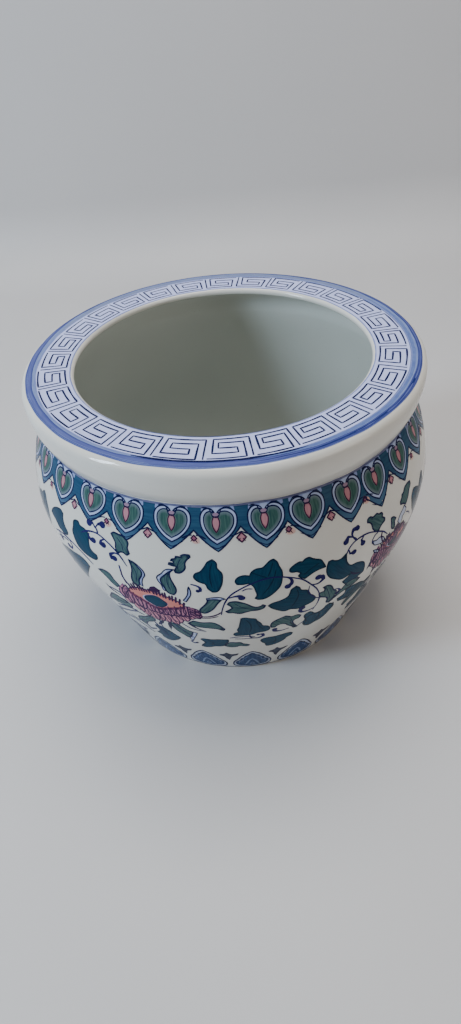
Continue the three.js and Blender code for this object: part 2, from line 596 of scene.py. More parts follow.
glaze_part(rim_ring, inside_glaze, lambda radius, height: radius < throat_edge and height < under_brim)
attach(rim_ring, "root")
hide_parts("rim_ring")

# Brim ground: a pale blue wash of underglaze colour on the flat of the rim. It is laid on with a broad
# brush while the ring turns on the wheel, so its edges run true.
# Paint lies on the clay as thin closed coats that reach from just under the skin to these lifts over it.
coat_root = -0.05
wash_lift = 0.05
body_lift = 0.08
detail_lift = 0.11
line_lift = 0.14
brush = random.Random(31)
# Where a ring is painted in one go, the bristle marks run this far for each degree, in this tone.
brush_turn = 2.4
ring_tone = 0.5
# A patch is filled with staggered rows of points, clear of its edge by a share of their pitch.
outline_step = 1.1
row_pitch_share = 0.87
edge_clearance_share = 0.45
# A stroke's width swings with the press of the hand and its line drifts, each over its own length.
press_swing, press_length = 0.3, 9.0
drift_swing, drift_length, drift_seed = 0.12, 14.0, 70.0
taper_share = 0.12
paint_crease = math.radians(40)


def brim_point(angle, depth, lift):
    """Depth runs inwards along the rim's skin from the line where the lip starts to roll over."""
    if depth < 0:
        roll = -depth / lip_rounding
        radius = flat_edge + (lip_rounding + lift) * math.sin(roll)
        height = lip_height + (lip_rounding + lift) * math.cos(roll)
    elif depth > flat_edge - mouth_edge:
        roll = (depth - flat_edge + mouth_edge) / edge_radius
        radius = mouth_edge - (edge_radius + lift) * math.sin(roll)
        height = pot_height - edge_radius + (edge_radius + lift) * math.cos(roll)
    else:
        radius, height = flat_edge - depth, pot_height + lift
    turn = math.radians(angle)
    return (radius * math.sin(turn) * MM, -radius * math.cos(turn) * MM, height * MM)


def new_coat(skin):
    """A coat on a skin of the pot, a function that gives the place of (angle, across, lift)."""
    return {"skin": skin, "points": [], "faces": [], "edge": [], "brush": []}


def dab(coat, angle, across, levels, margin, hand):
    """Puts down a point at each level, with its distance from the edge and its place in the stroke."""
    for level in levels:
        coat["points"].append(coat["skin"](angle, across, level))
        coat["edge"].append(margin)
        coat["brush"].append(hand)


def coat_ring(coat, angles, low, high, lift, rows):
    """A ring of colour between two lines round the pot, closed underneath and along both edges."""
    start = len(coat["points"])
    columns = len(angles)
    for angle in angles:
        bottom, top = low(angle), high(angle)
        for row in range(rows + 1):
            across = bottom + (top - bottom) * row / rows
            margin = min(across - bottom, top - across)
            dab(coat, angle, across, (lift, coat_root), margin, (angle * brush_turn, across, ring_tone))

    def corner(column, row, level):
        return start + ((column % columns) * (rows + 1) + row) * 2 + level

    for i in range(columns):
        n = i + 1
        for j in range(rows):
            k = j + 1
            coat["faces"].append((corner(i, j, 0), corner(n, j, 0), corner(n, k, 0), corner(i, k, 0)))
            coat["faces"].append((corner(i, j, 1), corner(i, k, 1), corner(n, k, 1), corner(n, j, 1)))
        coat["faces"].append((corner(i, 0, 1), corner(n, 0, 1), corner(n, 0, 0), corner(i, 0, 0)))
        coat["faces"].append((corner(i, rows, 0), corner(n, rows, 0), corner(n, rows, 1), corner(i, rows, 1)))


def to_flat(coat, points):
    """Unrolls (angle, across) points into millimetres, and gives the millimetres of one degree."""
    middle = sum(across for _, across in points) / len(points)
    x, y, _ = coat["skin"](0.0, middle, 0.0)
    per_degree = math.hypot(x, y) / MM * math.radians(1.0)
    return [Vector((angle * per_degree, across)) for angle, across in points], per_degree


def brushed(points, step, closed, corner_degrees=60.0):
    """Draws a flowing line through given points, with a crease where it turns sharply."""
    count = len(points)
    sharp = math.cos(math.radians(corner_degrees))
    tangents = []
    for i in range(count):
        before = points[i] - points[i - 1] if closed or i > 0 else points[1] - points[0]
        after = points[(i + 1) % count] - points[i] if closed or i < count - 1 else before
        before, after = before.normalized(), after.normalized()
        if before.dot(after) < sharp:
            tangents.append((before, after))
        else:
            through = (before + after).normalized()
            tangents.append((through, through))
    line = []
    for i in range(count if closed else count - 1):
        a, b = points[i], points[(i + 1) % count]
        length = (b - a).length
        leave, arrive = tangents[i][1] * length, tangents[(i + 1) % count][0] * length
        pieces = max(1, round(length / step))
        for k in range(pieces):
            t = k / pieces
            left = (1 - t) ** 2
            from_a = a * (1 + 2 * t) * left + leave * t * left
            line.append(from_a + b * t * t * (3 - 2 * t) + arrive * t * t * (t - 1))
    if not closed:
        line.append(points[-1])
    return line


def inside_outline(point, ring):
    inside = False
    for i, a in enumerate(ring):
        b = ring[i - 1]
        if (a.y > point.y) != (b.y > point.y):
            if point.x < (b.x - a.x) * (point.y - a.y) / (b.y - a.y) + a.x:
                inside = not inside
    return inside


def edge_distance(point, ring):
    best = math.inf
    for i, a in enumerate(ring):
        side = ring[i - 1] - a
        share = max(0.0, min(1.0, (point - a).dot(side) / max(side.length_squared, 1e-12)))
        best = min(best, (a + side * share - point).length_squared)
    return math.sqrt(best)


def coat_patch(coat, outline, lift, grid=3.0, lean=None):
    """A brushed-on patch of colour inside a given outline of (angle, across) points."""
    flat, per_degree = to_flat(coat, outline)
    ring = brushed(flat, outline_step, True)
    area = sum(ring[i - 1].x * ring[i].y - ring[i].x * ring[i - 1].y for i in range(len(ring)))
    if area < 0:
        ring.reverse()
    centre = sum(ring, Vector((0.0, 0.0))) / len(ring)
    spread_xx = sum((p.x - centre.x) ** 2 for p in ring)
    spread_yy = sum((p.y - centre.y) ** 2 for p in ring)
    spread_xy = sum((p.x - centre.x) * (p.y - centre.y) for p in ring)
    slant = 0.5 * math.atan2(2 * spread_xy, spread_xx - spread_yy) if lean is None else math.radians(lean)
    along = Vector((math.cos(slant), math.sin(slant)))
    across = Vector((-along.y, along.x))
    filling = []
    low = Vector((min(p.x for p in ring), min(p.y for p in ring)))
    high = Vector((max(p.x for p in ring), max(p.y for p in ring)))
    for row in range(int((high.y - low.y) / (grid * row_pitch_share)) + 1):
        for column in range(int((high.x - low.x) / grid) + 2):
            shift = column + 0.5 * (row % 2)
            spot = Vector((low.x + shift * grid, low.y + (row + 0.5) * grid * row_pitch_share))
            if inside_outline(spot, ring) and edge_distance(spot, ring) > grid * edge_clearance_share:
                filling.append(spot)
    around = list(range(len(ring)))
    points, _, faces, *_ = delaunay_2d_cdt(ring + filling, [], [around], 1, 1e-4)
    start = len(coat["points"])
    tone = brush.random()
    for point in points:
        margin = edge_distance(point, ring)
        hand = ((point - centre).dot(along), (point - centre).dot(across), tone)
        dab(coat, point.x / per_degree, point.y, (lift, coat_root), margin, hand)
    for face in faces:
        coat["faces"].append(tuple(start + 2 * corner for corner in face))
        coat["faces"].append(tuple(start + 2 * corner + 1 for corner in reversed(face)))
    sides = [(face[k - 1], corner) for face in faces for k, corner in enumerate(face)]
    known = set(sides)
    for a, b in sides:
        if (b, a) not in known:
            top_a, top_b = start + 2 * a, start + 2 * b
            coat["faces"].append((top_a, top_a + 1, top_b + 1, top_b))


def coat_stroke(coat, path, width, lift=line_lift, closed=False, step=1.2, ends=(0.45, 0.25), flow=True):
    """One stroke of a fine brush: it swells and thins as the hand moves, and ends in a point."""
    flat, per_degree = to_flat(coat, path)
    line = brushed(flat, step, closed) if flow else brushed(flat, step, closed, 1.0)
    count = len(line)
    start = len(coat["points"])
    seed = brush.uniform(0.0, 500.0)
    travel = 0.0
    for i, point in enumerate(line):
        before = line[i - 1] if closed or i > 0 else point
        after = line[(i + 1) % count] if closed or i < count - 1 else point
        heading = (after - before).normalized()
        left = Vector((-heading.y, heading.x))
        travel += (point - before).length
        press = 1.0 + press_swing * noise.noise(Vector((seed, travel / press_length, 0.0)))
        drift = drift_swing * noise.noise(Vector((seed + drift_seed, travel / drift_length, 0.0)))
        thickness = width(i / max(count - 1, 1)) if callable(width) else width
        if not closed:
            t = i / (count - 1)
            first = ends[0] + (1 - ends[0]) * t / taper_share
            last = ends[1] + (1 - ends[1]) * (1 - t) / taper_share
            press *= min(1.0, first, last)
        half = 0.5 * thickness * press
        for side, level in ((half, coat_root), (half, lift), (-half, lift), (-half, coat_root)):
            spot = point + left * (side + drift)
            dab(coat, spot.x / per_degree, spot.y, (level,), half, (travel, side, press))
    for i in range(count if closed else count - 1):
        here, there = start + 4 * i, start + 4 * ((i + 1) % count)
        for k in range(4):
            n = (k + 1) % 4
            coat["faces"].append((here + k, here + n, there + n, there + k))
    if not closed:
        end = start + 4 * (count - 1)
        coat["faces"].append((start + 3, start + 2, start + 1, start))
        coat["faces"].append((end, end + 1, end + 2, end + 3))


def coat_circle(coat, line, width, lift=line_lift, step=4.0, flow=True):
    """A stroke that runs all the way round the pot and ends where it began."""
    whole = [*line, (line[0][0] + 360.0, line[0][1])]
    coat_stroke(coat, whole, width, lift, step=step, ends=(1.0, 1.0), flow=flow)


def as_seen(red, green, blue):
    """Linear colour, with alpha, of a tint that is written as it looks, from 0 to 255."""
    shares = [channel / 255.0 for channel in (red, green, blue)]
    return (*(s / 12.92 if s <= 0.04045 else ((s + 0.055) / 1.055) ** 2.4 for s in shares), 1.0)


def pigment(name, body, pooled, streak, pool_width=1.2, streak_share=0.5, fade=None):
    """Underglaze colour: streaked where the brush dragged, and deeper where the colour pooled.
    A fade gives two heights and the tint to which the colour thins from the upper to the lower."""
    material, tree, shader = new_material(name, {"Specular IOR Level": 0.03})
    margin = add_node(tree, "ShaderNodeAttribute", attribute_name="edge")
    narrow = {"From Max": pool_width, "To Min": 1.0, "To Max": 0.0}
    pool = add_node(tree, "ShaderNodeMapRange", narrow)
    hand = add_node(tree, "ShaderNodeAttribute", attribute_name="brush")
    comb = add_node(tree, "ShaderNodeMapping", {"Scale": (0.09, 0.8, 9.0)})
    bristles = add_node(tree, "ShaderNodeTexNoise", {"Scale": 1.0, "Detail": 3.0})
    reach = {"From Min": 0.35, "From Max": 0.68, "To Max": streak_share}
    spread = add_node(tree, "ShaderNodeMapRange", reach)
    tints = {"A": as_seen(*body), "B": as_seen(*streak)}
    streaked = add_node(tree, "ShaderNodeMix", tints, data_type="RGBA")
    edged = add_node(tree, "ShaderNodeMix", {"B": as_seen(*pooled)}, data_type="RGBA")
    looks = {"Speck amount": 0.0, "Dry roughness": 0.06, "Wave strength": 0.35}
    skin = add_node(tree, "ShaderNodeGroup", looks, node_tree=glaze_skin)
    wire(
        tree,
        (margin, "Fac", pool, "Value"),
        (hand, "Vector", comb, "Vector"),
        (comb, "Vector", bristles, "Vector"),
        (bristles, "Fac", spread, "Value"),
        (spread, "Result", streaked, "Factor"),
        (streaked, "Result", edged, "A"),
        (pool, "Result", edged, "Factor"),
    )
    colour = edged
    if fade:
        low, high, thin = fade
        place = add_node(tree, "ShaderNodeTexCoord")
        split = add_node(tree, "ShaderNodeSeparateXYZ")
        heights = {"From Min": low * MM, "From Max": high * MM, "To Min": 1.0, "To Max": 0.0}
        down = add_node(tree, "ShaderNodeMapRange", heights)
        colour = add_node(tree, "ShaderNodeMix", {"B": as_seen(*thin)}, data_type="RGBA")
        wire(
            tree,
            (place, "Object", split, "Vector"),
            (split, "Z", down, "Value"),
            (down, "Result", colour, "Factor"),
            (edged, "Result", colour, "A"),
        )
    wire(
        tree,
        (colour, "Result", skin, "Glaze"),
        (colour, "Result", skin, "Pooled glaze"),
        (skin, "Color", shader, "Base Color"),
        (skin, "Roughness", shader, "Roughness"),
        (skin, "Normal", shader, "Normal"),
    )
    return material


def fire_coat(name, coat, material):
    """Makes the mesh of a finished coat, and rides it on the pot."""
    mesh = bpy.data.meshes.new(name)
    mesh.from_pydata(coat["points"], [], coat["faces"])
    mesh.attributes.new("edge", "FLOAT", "POINT").data.foreach_set("value", coat["edge"])
    flat_brush = [value for triple in coat["brush"] for value in triple]
    mesh.attributes.new("brush", "FLOAT_VECTOR", "POINT").data.foreach_set("vector", flat_brush)
    mesh.materials.append(material)
    layer = bpy.data.objects.new(name, mesh)
    bpy.context.collection.objects.link(layer)
    bpy.ops.object.select_all(action="DESELECT")
    layer.select_set(True)
    bpy.context.view_layer.objects.active = layer
    bpy.ops.object.shade_smooth_by_angle(angle=paint_crease)
    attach(layer, "root")


def fire_coats(*rows):
    """Fires coats; each row has a name, a coat, and a pigment or else what the pigment is made from:
    its name, the tints of its body, of its pools and of its streaks, and how it pools and streaks."""
    for name, coat, first, *rest in rows:
        fire_coat(name, coat, pigment(first, *rest) if rest else first)


# A line round the pot reads its noise along a circle of this radius.
wander_radius = 40.0 / 6.28


def unsteady(seed, swing):
    """A line that a hand holds against the turning pot, so it wanders a little and meets itself."""

    def wander(angle):
        turn = math.radians(angle)
        around = Vector((seed, wander_radius * math.cos(turn), wander_radius * math.sin(turn)))
        return swing * noise.noise(around)

    return wander


ring_angles = [360.0 * i / 240 for i in range(240)]
wash_inner = flat_edge - 115.2
wash_outer = flat_edge - 141.2
brim_wash = new_coat(brim_point)
coat_ring(brim_wash, ring_angles, lambda a: wash_outer, lambda a: wash_inner, wash_lift, rows=24)
fire_coats(("brim_wash", brim_wash, "pale_blue_wash", (186, 194, 237), (166, 177, 228), (198, 204, 239), 0.6))

# Brim band: outside the ground runs a light blue wash, and on it a dark band on the turn of the lip that
# is narrower on the right and the far side. Both are laid on with a loaded brush on the turning pot.
# Each row is an angle with the inner radii of the wash and the band and the outer radius of the band.
band_edges = [
    (-60, 141.0, 143.1, 148.5),
    (-30, 141.0, 143.1, 148.5),
    (-20, 140.9, 142.3, 148.4),
    (4, 140.8, 142.3, 148.3),
    (14, 140.7, 143.8, 148.2),
    (40, 140.5, 144.5, 148.4),
    (60, 140.3, 145.0, 148.6),
    (95, 140.0, 145.7, 148.7),
    (130, 138.6, 145.6, 147.9),
    (180, 139.6, 146.4, 148.3),
    (240, 140.6, 145.9, 148.5),
    (262, 141.0, 143.8, 148.7),
    (300, 141.0, 143.1, 148.5),
]
band_edge_radius = 148.8
band_overlap = 0.015


def band_radius(angle, column):
    angle = angle - 360.0 if angle > 300.0 else angle
    for before, after in zip(band_edges, band_edges[1:]):
        if before[0] <= angle <= after[0]:
            share = (angle - before[0]) / (after[0] - before[0])
            return before[column] + (after[column] - before[column]) * share


band_wash, dark_band = new_coat(brim_point), new_coat(brim_point)
wash_wander, inner_wander, outer_wander = unsteady(3.0, 0.5), unsteady(11.0, 0.7), unsteady(23.0, 0.6)
coat_ring(
    band_wash,
    ring_angles,
    lambda a: flat_edge - band_edge_radius + outer_wander(a),
    lambda a: flat_edge - band_radius(a, 1) + wash_wander(a),
    wash_lift + band_overlap,
    rows=8,
)
coat_ring(
    dark_band,
    ring_angles,
    lambda a: flat_edge - band_radius(a, 3) + outer_wander(a) + 0.15,
    lambda a: flat_edge - band_radius(a, 2) + inner_wander(a),
    body_lift,
    rows=5,
)
wash_tints = ((107, 124, 172), (92, 106, 158), (132, 146, 184))
fire_coats(
    ("brim_band_wash", band_wash, "band_wash_blue", *wash_tints, 1.0, 0.8),
    ("brim_band", dark_band, "band_blue", (80, 88, 146), (52, 60, 122), (98, 110, 160), 1.6, 0.6),
)

# Second pass of the brush over the rim: it deepens the wash round the right side and the far side, and
# leaves a dark line in the middle of the band. The strokes start and end in a point.
thin_wash, band_shade, band_line = (new_coat(brim_point) for _ in range(3))


def rim_stroke(coat, radius, wander, angles, width, lift):
    """A long stroke along the rim at a radius that is a number or follows the angle."""
    path = [(a, flat_edge - (radius(a) if callable(radius) else radius) + wander(a)) for a in angles]
    coat_stroke(coat, path, width, lift=lift, step=3.0, ends=(0.1, 0.1))


def band_middle(angle):
    return 0.5 * (band_radius(angle, 2) + band_radius(angle, 3))


rim_stroke(band_shade, 142.4, wash_wander, range(2, 122, 3), 3.0, body_lift)
rim_stroke(band_line, band_middle, inner_wander, range(4, 246, 3), 2.0, detail_lift)
rim_stroke(thin_wash, 143.0, wash_wander, range(116, 250, 3), 4.6, body_lift)
fire_coats(
    ("brim_thin_wash", thin_wash, "thin_blue", (108, 121, 158), (98, 111, 152), (128, 140, 168), 0.6, 0.8),
    ("brim_band_shade", band_shade, "shade_blue", (86, 104, 160), (78, 94, 152), (106, 124, 174), 0.5, 0.8),
    ("brim_band_line", band_line, "deep_blue", (32, 42, 98), (26, 34, 88), (48, 60, 116), 0.5, 0.7),
)

# Fret: a running row of square keys in dark underglaze blue, drawn freehand with a fine brush on the
# pale ground, so no two keys are quite alike. Each key starts at one of these angles round the brim.
key_starts = [
    -58.8, -45.6, -31.8, -18.8, -4.8, 8.0, 20.2, 33.1, 45.7, 57.8, 71.6, 84.9, 96.8, 110.0,
    122.5, 135.3, 148.8, 160.6, 173.4, 186.1, 199.6, 212.2, 225.1, 237.7, 250.4, 262.7, 275.0, 287.2,
]
key_width = 1.32
key_base = 118.0
# Keys between these angles, from the front right round the back to the left, reach less far out.
short_keys = (15.0, 270.0)
short_key_share = 0.95
# One key, as shares of its width and radii on the brim.
key_corners = [
    (-0.1, 139.2), (0.7, 139.2), (0.7, 123.0), (0.13, 123.0), (0.13, 128.5), (0.54, 128.5),
    (0.54, 134.0), (0.0, 134.0), (0.0, 118.8), (0.84, 118.8), (0.83, 139.4),
]
fret = new_coat(brim_point)
for start, after in zip(key_starts, [*key_starts[1:], key_starts[0] + 360.0]):
    sway = brush.uniform(-0.4, 0.4)
    reach = short_key_share if short_keys[0] <= start <= short_keys[1] else 1.0
    path = []
    for share, radius in key_corners:
        angle = start + (after - start) * share + brush.uniform(-0.12, 0.12)
        depth = flat_edge - key_base - (radius - key_base) * reach + sway
        path.append((angle, depth + brush.uniform(-0.3, 0.3)))
    coat_stroke(fret, path, key_width, step=1.6, ends=(0.8, 0.75), flow=False)
# At the front the brush went once more along the ground's outer and inner edge.
for radius, low, high, width in ((141.6, -26, 22, 1.8), (114.6, -36, 16, 1.0)):
    wander = unsteady(radius, 0.5)
    line = [(angle, flat_edge - radius + wander(angle)) for angle in range(low, high, 2)]
    coat_stroke(fret, line, width, lift=line_lift + 0.02, step=3.0, ends=(0.4, 0.2))
line_blue = pigment("line_blue", (20, 23, 62), (17, 19, 56), (36, 42, 86), 0.2, 0.6)
fire_coats(("brim_fret", fret, line_blue))

# Rings: two thin pale blue lines that edge the ground, drawn with the brush held still against the
# turning rim.
brim_rings = new_coat(brim_point)
for radius, width, swing in ((141.0, 0.8, 0.5), (115.4, 0.9, 0.3)):
    wander = unsteady(radius, swing)
    circle = [(angle, flat_edge - radius + wander(angle)) for angle in ring_angles[::2]]
    coat_circle(brim_rings, circle, width, lift=detail_lift)
fire_coats(
    ("brim_rings", brim_rings, "ring_blue", (112, 124, 180), (96, 108, 170), (140, 150, 194), 0.3, 0.7)
)

# Collar: a ring of teal lappets under the lip, each running down to a point. It is filled in with an
# underglaze colour that thins towards the points. One lappet hangs round each of these heart centres.
heart_centres = [-65.0, -52.8, -40.5, -28.8, -16.2, -5.0, 7.0, 18.3, 30.0, 39.8, 51.5, 64.0]
# How far each of them swells to its left and right of its centre, and the height of its lappet's tip.
heart_swells = [
    (4.7, 4.8), (4.6, 4.8), (4.1, 5.1), (4.4, 5.0), (4.7, 4.9), (3.9, 5.3),
    (4.1, 5.2), (4.9, 4.8), (4.4, 4.6), (4.5, 4.4), (4.3, 4.5), (4.5, 4.6),
]
lappet_tips = [184.6, 184.8, 187.2, 184.4, 184.6, 184.2, 183.9, 182.8, 182.8, 180.4, 183.0, 184.0]
hidden_hearts = 19
hidden_pitch = (heart_centres[0] + 360.0 - heart_centres[-1]) / (hidden_hearts + 1)
heart_centres += [heart_centres[-1] + hidden_pitch * (i + 1) for i in range(hidden_hearts)]
collar_top = 213.4
lappet_samples = 14
hidden_tip = 184.6
valley_height = 200.2
valley_drop = 3.0
usual_gap = 11.75
lappet_bend = 1.12


def bowl_point(angle, height, lift):
    """Lift runs straight out from the bowl's skin."""
    radius = bowl_radius(height)
    slope = bowl_radius(height + 0.5) - bowl_radius(height - 0.5)
    scale = 1.0 / math.hypot(1.0, slope)
    radius += lift * scale
    turn = math.radians(angle)
    return (radius * math.sin(turn) * MM, -radius * math.cos(turn) * MM, (height - lift * slope * scale) * MM)


lappets = []
neighbours = zip([heart_centres[-1] - 360.0, *heart_centres], [*heart_centres[1:], heart_centres[0] + 360.0])
for i, (before, after) in enumerate(neighbours):
    centre = heart_centres[i]
    tip = lappet_tips[i] if i < len(lappet_tips) else hidden_tip + brush.uniform(-1.2, 1.2)
    lappets.append((centre, (before + centre) / 2, (centre + after) / 2, tip))
lappet_edge = {}
for centre, left, right, tip in lappets:
    for k in range(lappet_samples):
        share = k / lappet_samples
        gap = 2 * (right - centre) if share > 0.5 else 2 * (centre - left)
        valley = valley_height - valley_drop * max(0.0, usual_gap - gap)
        angle = left + (right - left) * share
        lappet_edge[angle] = tip + (valley - tip) * abs(2 * share - 1) ** lappet_bend

teal_field = new_coat(bowl_point)
coat_ring(teal_field, list(lappet_edge), lambda a: lappet_edge[a], lambda a: collar_top, wash_lift, rows=6)
teal_tints = ((40, 72, 102), (25, 48, 82), (58, 96, 122))
thinning = (188.0, 198.0, (72, 104, 134))
fire_coats(("collar_lappets", teal_field, "collar_teal", *teal_tints, 1.4, 0.6, thinning))

# Hearts: on each lappet lies a green ruyi heart in a pale frame, with a salmon bud in it, and small pink
# diamonds hang on whiskers between the points. The fills come first, and the fine lines are drawn over.
frame_top, frame_tip = 212.3, 189.8
green_top, green_tip, green_inset = 210.5, 192.7, 0.85
usual_tip = 184.8
usual_swell = 4.8
# The half heart is in shares of its swell and its height. The other shapes are points of degrees from
# their middle and height, and a half shape of these runs to its middle line.
heart_half = [
    (0.0, 0.8), (0.14, 0.93), (0.4, 1.0), (0.73, 0.97), (0.95, 0.85),
    (1.0, 0.68), (0.93, 0.5), (0.73, 0.32), (0.4, 0.14), (0.0, 0.0),
]
notch = [(-2.4, 213.2), (2.4, 213.2), (1.5, 211.6), (0.9, 209.0), (0.0, 208.2), (-0.9, 209.0), (-1.5, 211.6)]
bud_half = [(0.5, 207.2), (0.9, 204.8), (0.85, 201.8), (0.5, 199.2), (0.0, 197.2)]
bud_middle = 203.0
bulb_height = 208.6
cup_half = [(-0.9, 208.0), (-0.5, 207.1), (0.0, 206.9)]
curl = [(3.6, 212.6), (2.4, 212.9), (1.5, 211.8), (1.1, 209.8), (0.9, 208.0)]
tip_half = [(-2.9, 6.2), (-1.2, 3.6), (0.0, 2.2)]
long_diamond = [(0.0, 196.4), (1.2, 193.2), (0.0, 189.8), (-1.2, 193.2)]
short_diamond = [(0.0, 195.4), (0.75, 193.4), (0.0, 191.4), (-0.75, 193.4)]
high_whisker = [(0.0, 197.2), (1.3, 195.4), (2.6, 194.4)]
low_whisker = [(0.5, 195.4), (1.5, 195.0), (3.0, 193.0)]
blush_middle, blush_reach = (0.5, 191.8), (1.0, 2.4)
overlap = 0.012
octagon = [math.tau * k / 8 for k in range(8)]


def heart_outline(centre, swell_left, swell_right, top, tip):
    right = [(centre + swell_right * x, tip + (top - tip) * y) for x, y in heart_half]
    left = [(centre - swell_left * x, tip + (top - tip) * y) for x, y in reversed(heart_half[1:-1])]
    return right + left


def both_sides(half):
    """A half shape that ends on its middle line, carried on down the other side."""
    return half + [(-a, h) for a, h in reversed(half[:-1])]


def at(middle, shape, up=0.0, way=1):
    """A shape set round a middle angle, raised, and mirrored where way is -1."""
    return [(middle + way * a, h + up) for a, h in shape]


def oval(angle, height, half_width, half_height, corners=8):
    turns = [math.tau * k / corners for k in range(corners)]
    return [(angle + half_width * math.cos(t), height + half_height * math.sin(t)) for t in turns]


heart_frames, heart_greens, heart_spots, heart_lines = (new_coat(bowl_point) for _ in range(4))
heart_halos, heart_blushes, pink_washes, red_lines = (new_coat(bowl_point) for _ in range(4))
for i, (centre, left, right, tip) in enumerate(lappets):
    drop = 0.1 * (tip - usual_tip) + brush.uniform(-0.3, 0.3)
    hang = drop + 0.5 * (tip - usual_tip)
    swell = heart_swells[i] if i < len(heart_swells) else (brush.uniform(4.2, 4.8), brush.uniform(4.4, 5.1))
    frame_line = heart_outline(centre, *swell, frame_top + drop, frame_tip + hang)
    green_swell = (swell[0] - green_inset, swell[1] - green_inset)
    green_line = heart_outline(centre, *green_swell, green_top + drop, green_tip + hang)
    coat_patch(heart_frames, frame_line, body_lift, 3.5)
    coat_patch(heart_greens, green_line, detail_lift, 2.2, lean=90.0)
    coat_stroke(heart_lines, frame_line, 0.95, closed=True)
    coat_stroke(heart_lines, green_line, 0.85, closed=True)
    for way, share in ((-1, swell[0] / usual_swell), (1, swell[1] / usual_swell)):
        spread = brush.uniform(0.0, 0.9)
        wedge = [(3.2, 213.3), (3.9 + spread, 213.3), (4.2 + 0.7 * spread, 210.8), (4.3, 210.2), (3.9, 211.6)]
        wedge = [(centre + way * a * share, h) for a, h in wedge]
        coat_patch(heart_frames, wedge, body_lift + overlap, 2.0)
    coat_patch(heart_frames, at(centre, notch, drop), body_lift + overlap, 2.2)
    bud = at(centre, both_sides(bud_half), drop)
    halo = [(centre + (a - centre) * 1.5, bud_middle + drop + (h - drop - bud_middle) * 1.15) for a, h in bud]
    coat_patch(heart_halos, halo, detail_lift + overlap, 2.2)
    coat_patch(heart_spots, bud, line_lift, 2.0)
    coat_patch(heart_blushes, oval(centre, bulb_height + drop, 0.75, 1.2), line_lift + 0.01, 2.0)
    cup = at(centre, both_sides(cup_half), drop)
    coat_stroke(heart_lines, cup, 0.9, lift=line_lift + 0.03, ends=(0.8, 0.8))
    for way in (-1, 1):
        coat_stroke(heart_lines, at(centre, curl, drop, way), 0.75, lift=line_lift + 0.02, ends=(0.5, 0.6))
    coat_stroke(red_lines, bud, 0.75, lift=line_lift + 0.03, closed=True)
    coat_stroke(heart_lines, at(centre, both_sides(tip_half), tip), 0.55)
    diamond = at(right, long_diamond if i % 2 else short_diamond)
    if i % 2 == 0:
        blush = []
        for t in octagon:
            half_width = blush_reach[0] + brush.uniform(-0.2, 0.4)
            angle = right + blush_middle[0] + half_width * math.cos(t)
            blush.append((angle, blush_middle[1] + blush_reach[1] * math.sin(t)))
        coat_patch(pink_washes, blush, wash_lift, 2.0)
    coat_patch(heart_spots, diamond, body_lift, 2.0)
    coat_stroke(red_lines, diamond, 0.9, closed=True)
    for way in (-1, 1):
        whisker = at(right, high_whisker if i % 2 else low_whisker, way=way)
        coat_stroke(heart_lines, whisker, 0.85, ends=(0.8, 0.5))
        ray = [(right + way * 0.3, 192.6), (right + way * 0.9, 190.8 + brush.uniform(-0.6, 0.6))]
        coat_stroke(red_lines, ray, 0.7, ends=(0.9, 0.3))
coat_circle(heart_lines, list(lappet_edge.items()), 0.95, step=2.0, flow=False)
collar_wander = unsteady(9.0, 0.3)
top_line = new_coat(bowl_point)
coat_circle(top_line, [(a, collar_top + 0.1 + collar_wander(a)) for a in ring_angles[::2]], 1.3)
fire_coats(
    ("collar_top_line", top_line, "top_violet", (92, 96, 132), (78, 82, 124), (118, 122, 150), 0.4, 0.8),
    ("heart_frames", heart_frames, "frame_white", (172, 185, 220), (142, 156, 202), (186, 196, 224), 0.7),
    ("heart_greens", heart_greens, "heart_green", (48, 80, 80), (118, 132, 142), (76, 110, 102), 2.6, 0.9),
    ("heart_halos", heart_halos, "halo_green", (104, 122, 118), (66, 96, 92), (122, 138, 132), 0.9),
    ("heart_spots", heart_spots, "salmon", (182, 128, 138), (146, 88, 112), (200, 148, 154), 0.7),
    ("heart_blushes", heart_blushes, "blush_mauve", (176, 150, 166), (158, 128, 152), (186, 162, 176), 0.8),
    ("diamond_blushes", pink_washes, "blush_pink", (212, 168, 160), (210, 180, 170), (214, 186, 176), 0.9),
    ("heart_lines", heart_lines, line_blue),
    ("heart_red_lines", red_lines, "line_red", (52, 24, 58), (46, 22, 56), (78, 38, 68), 0.2),
)
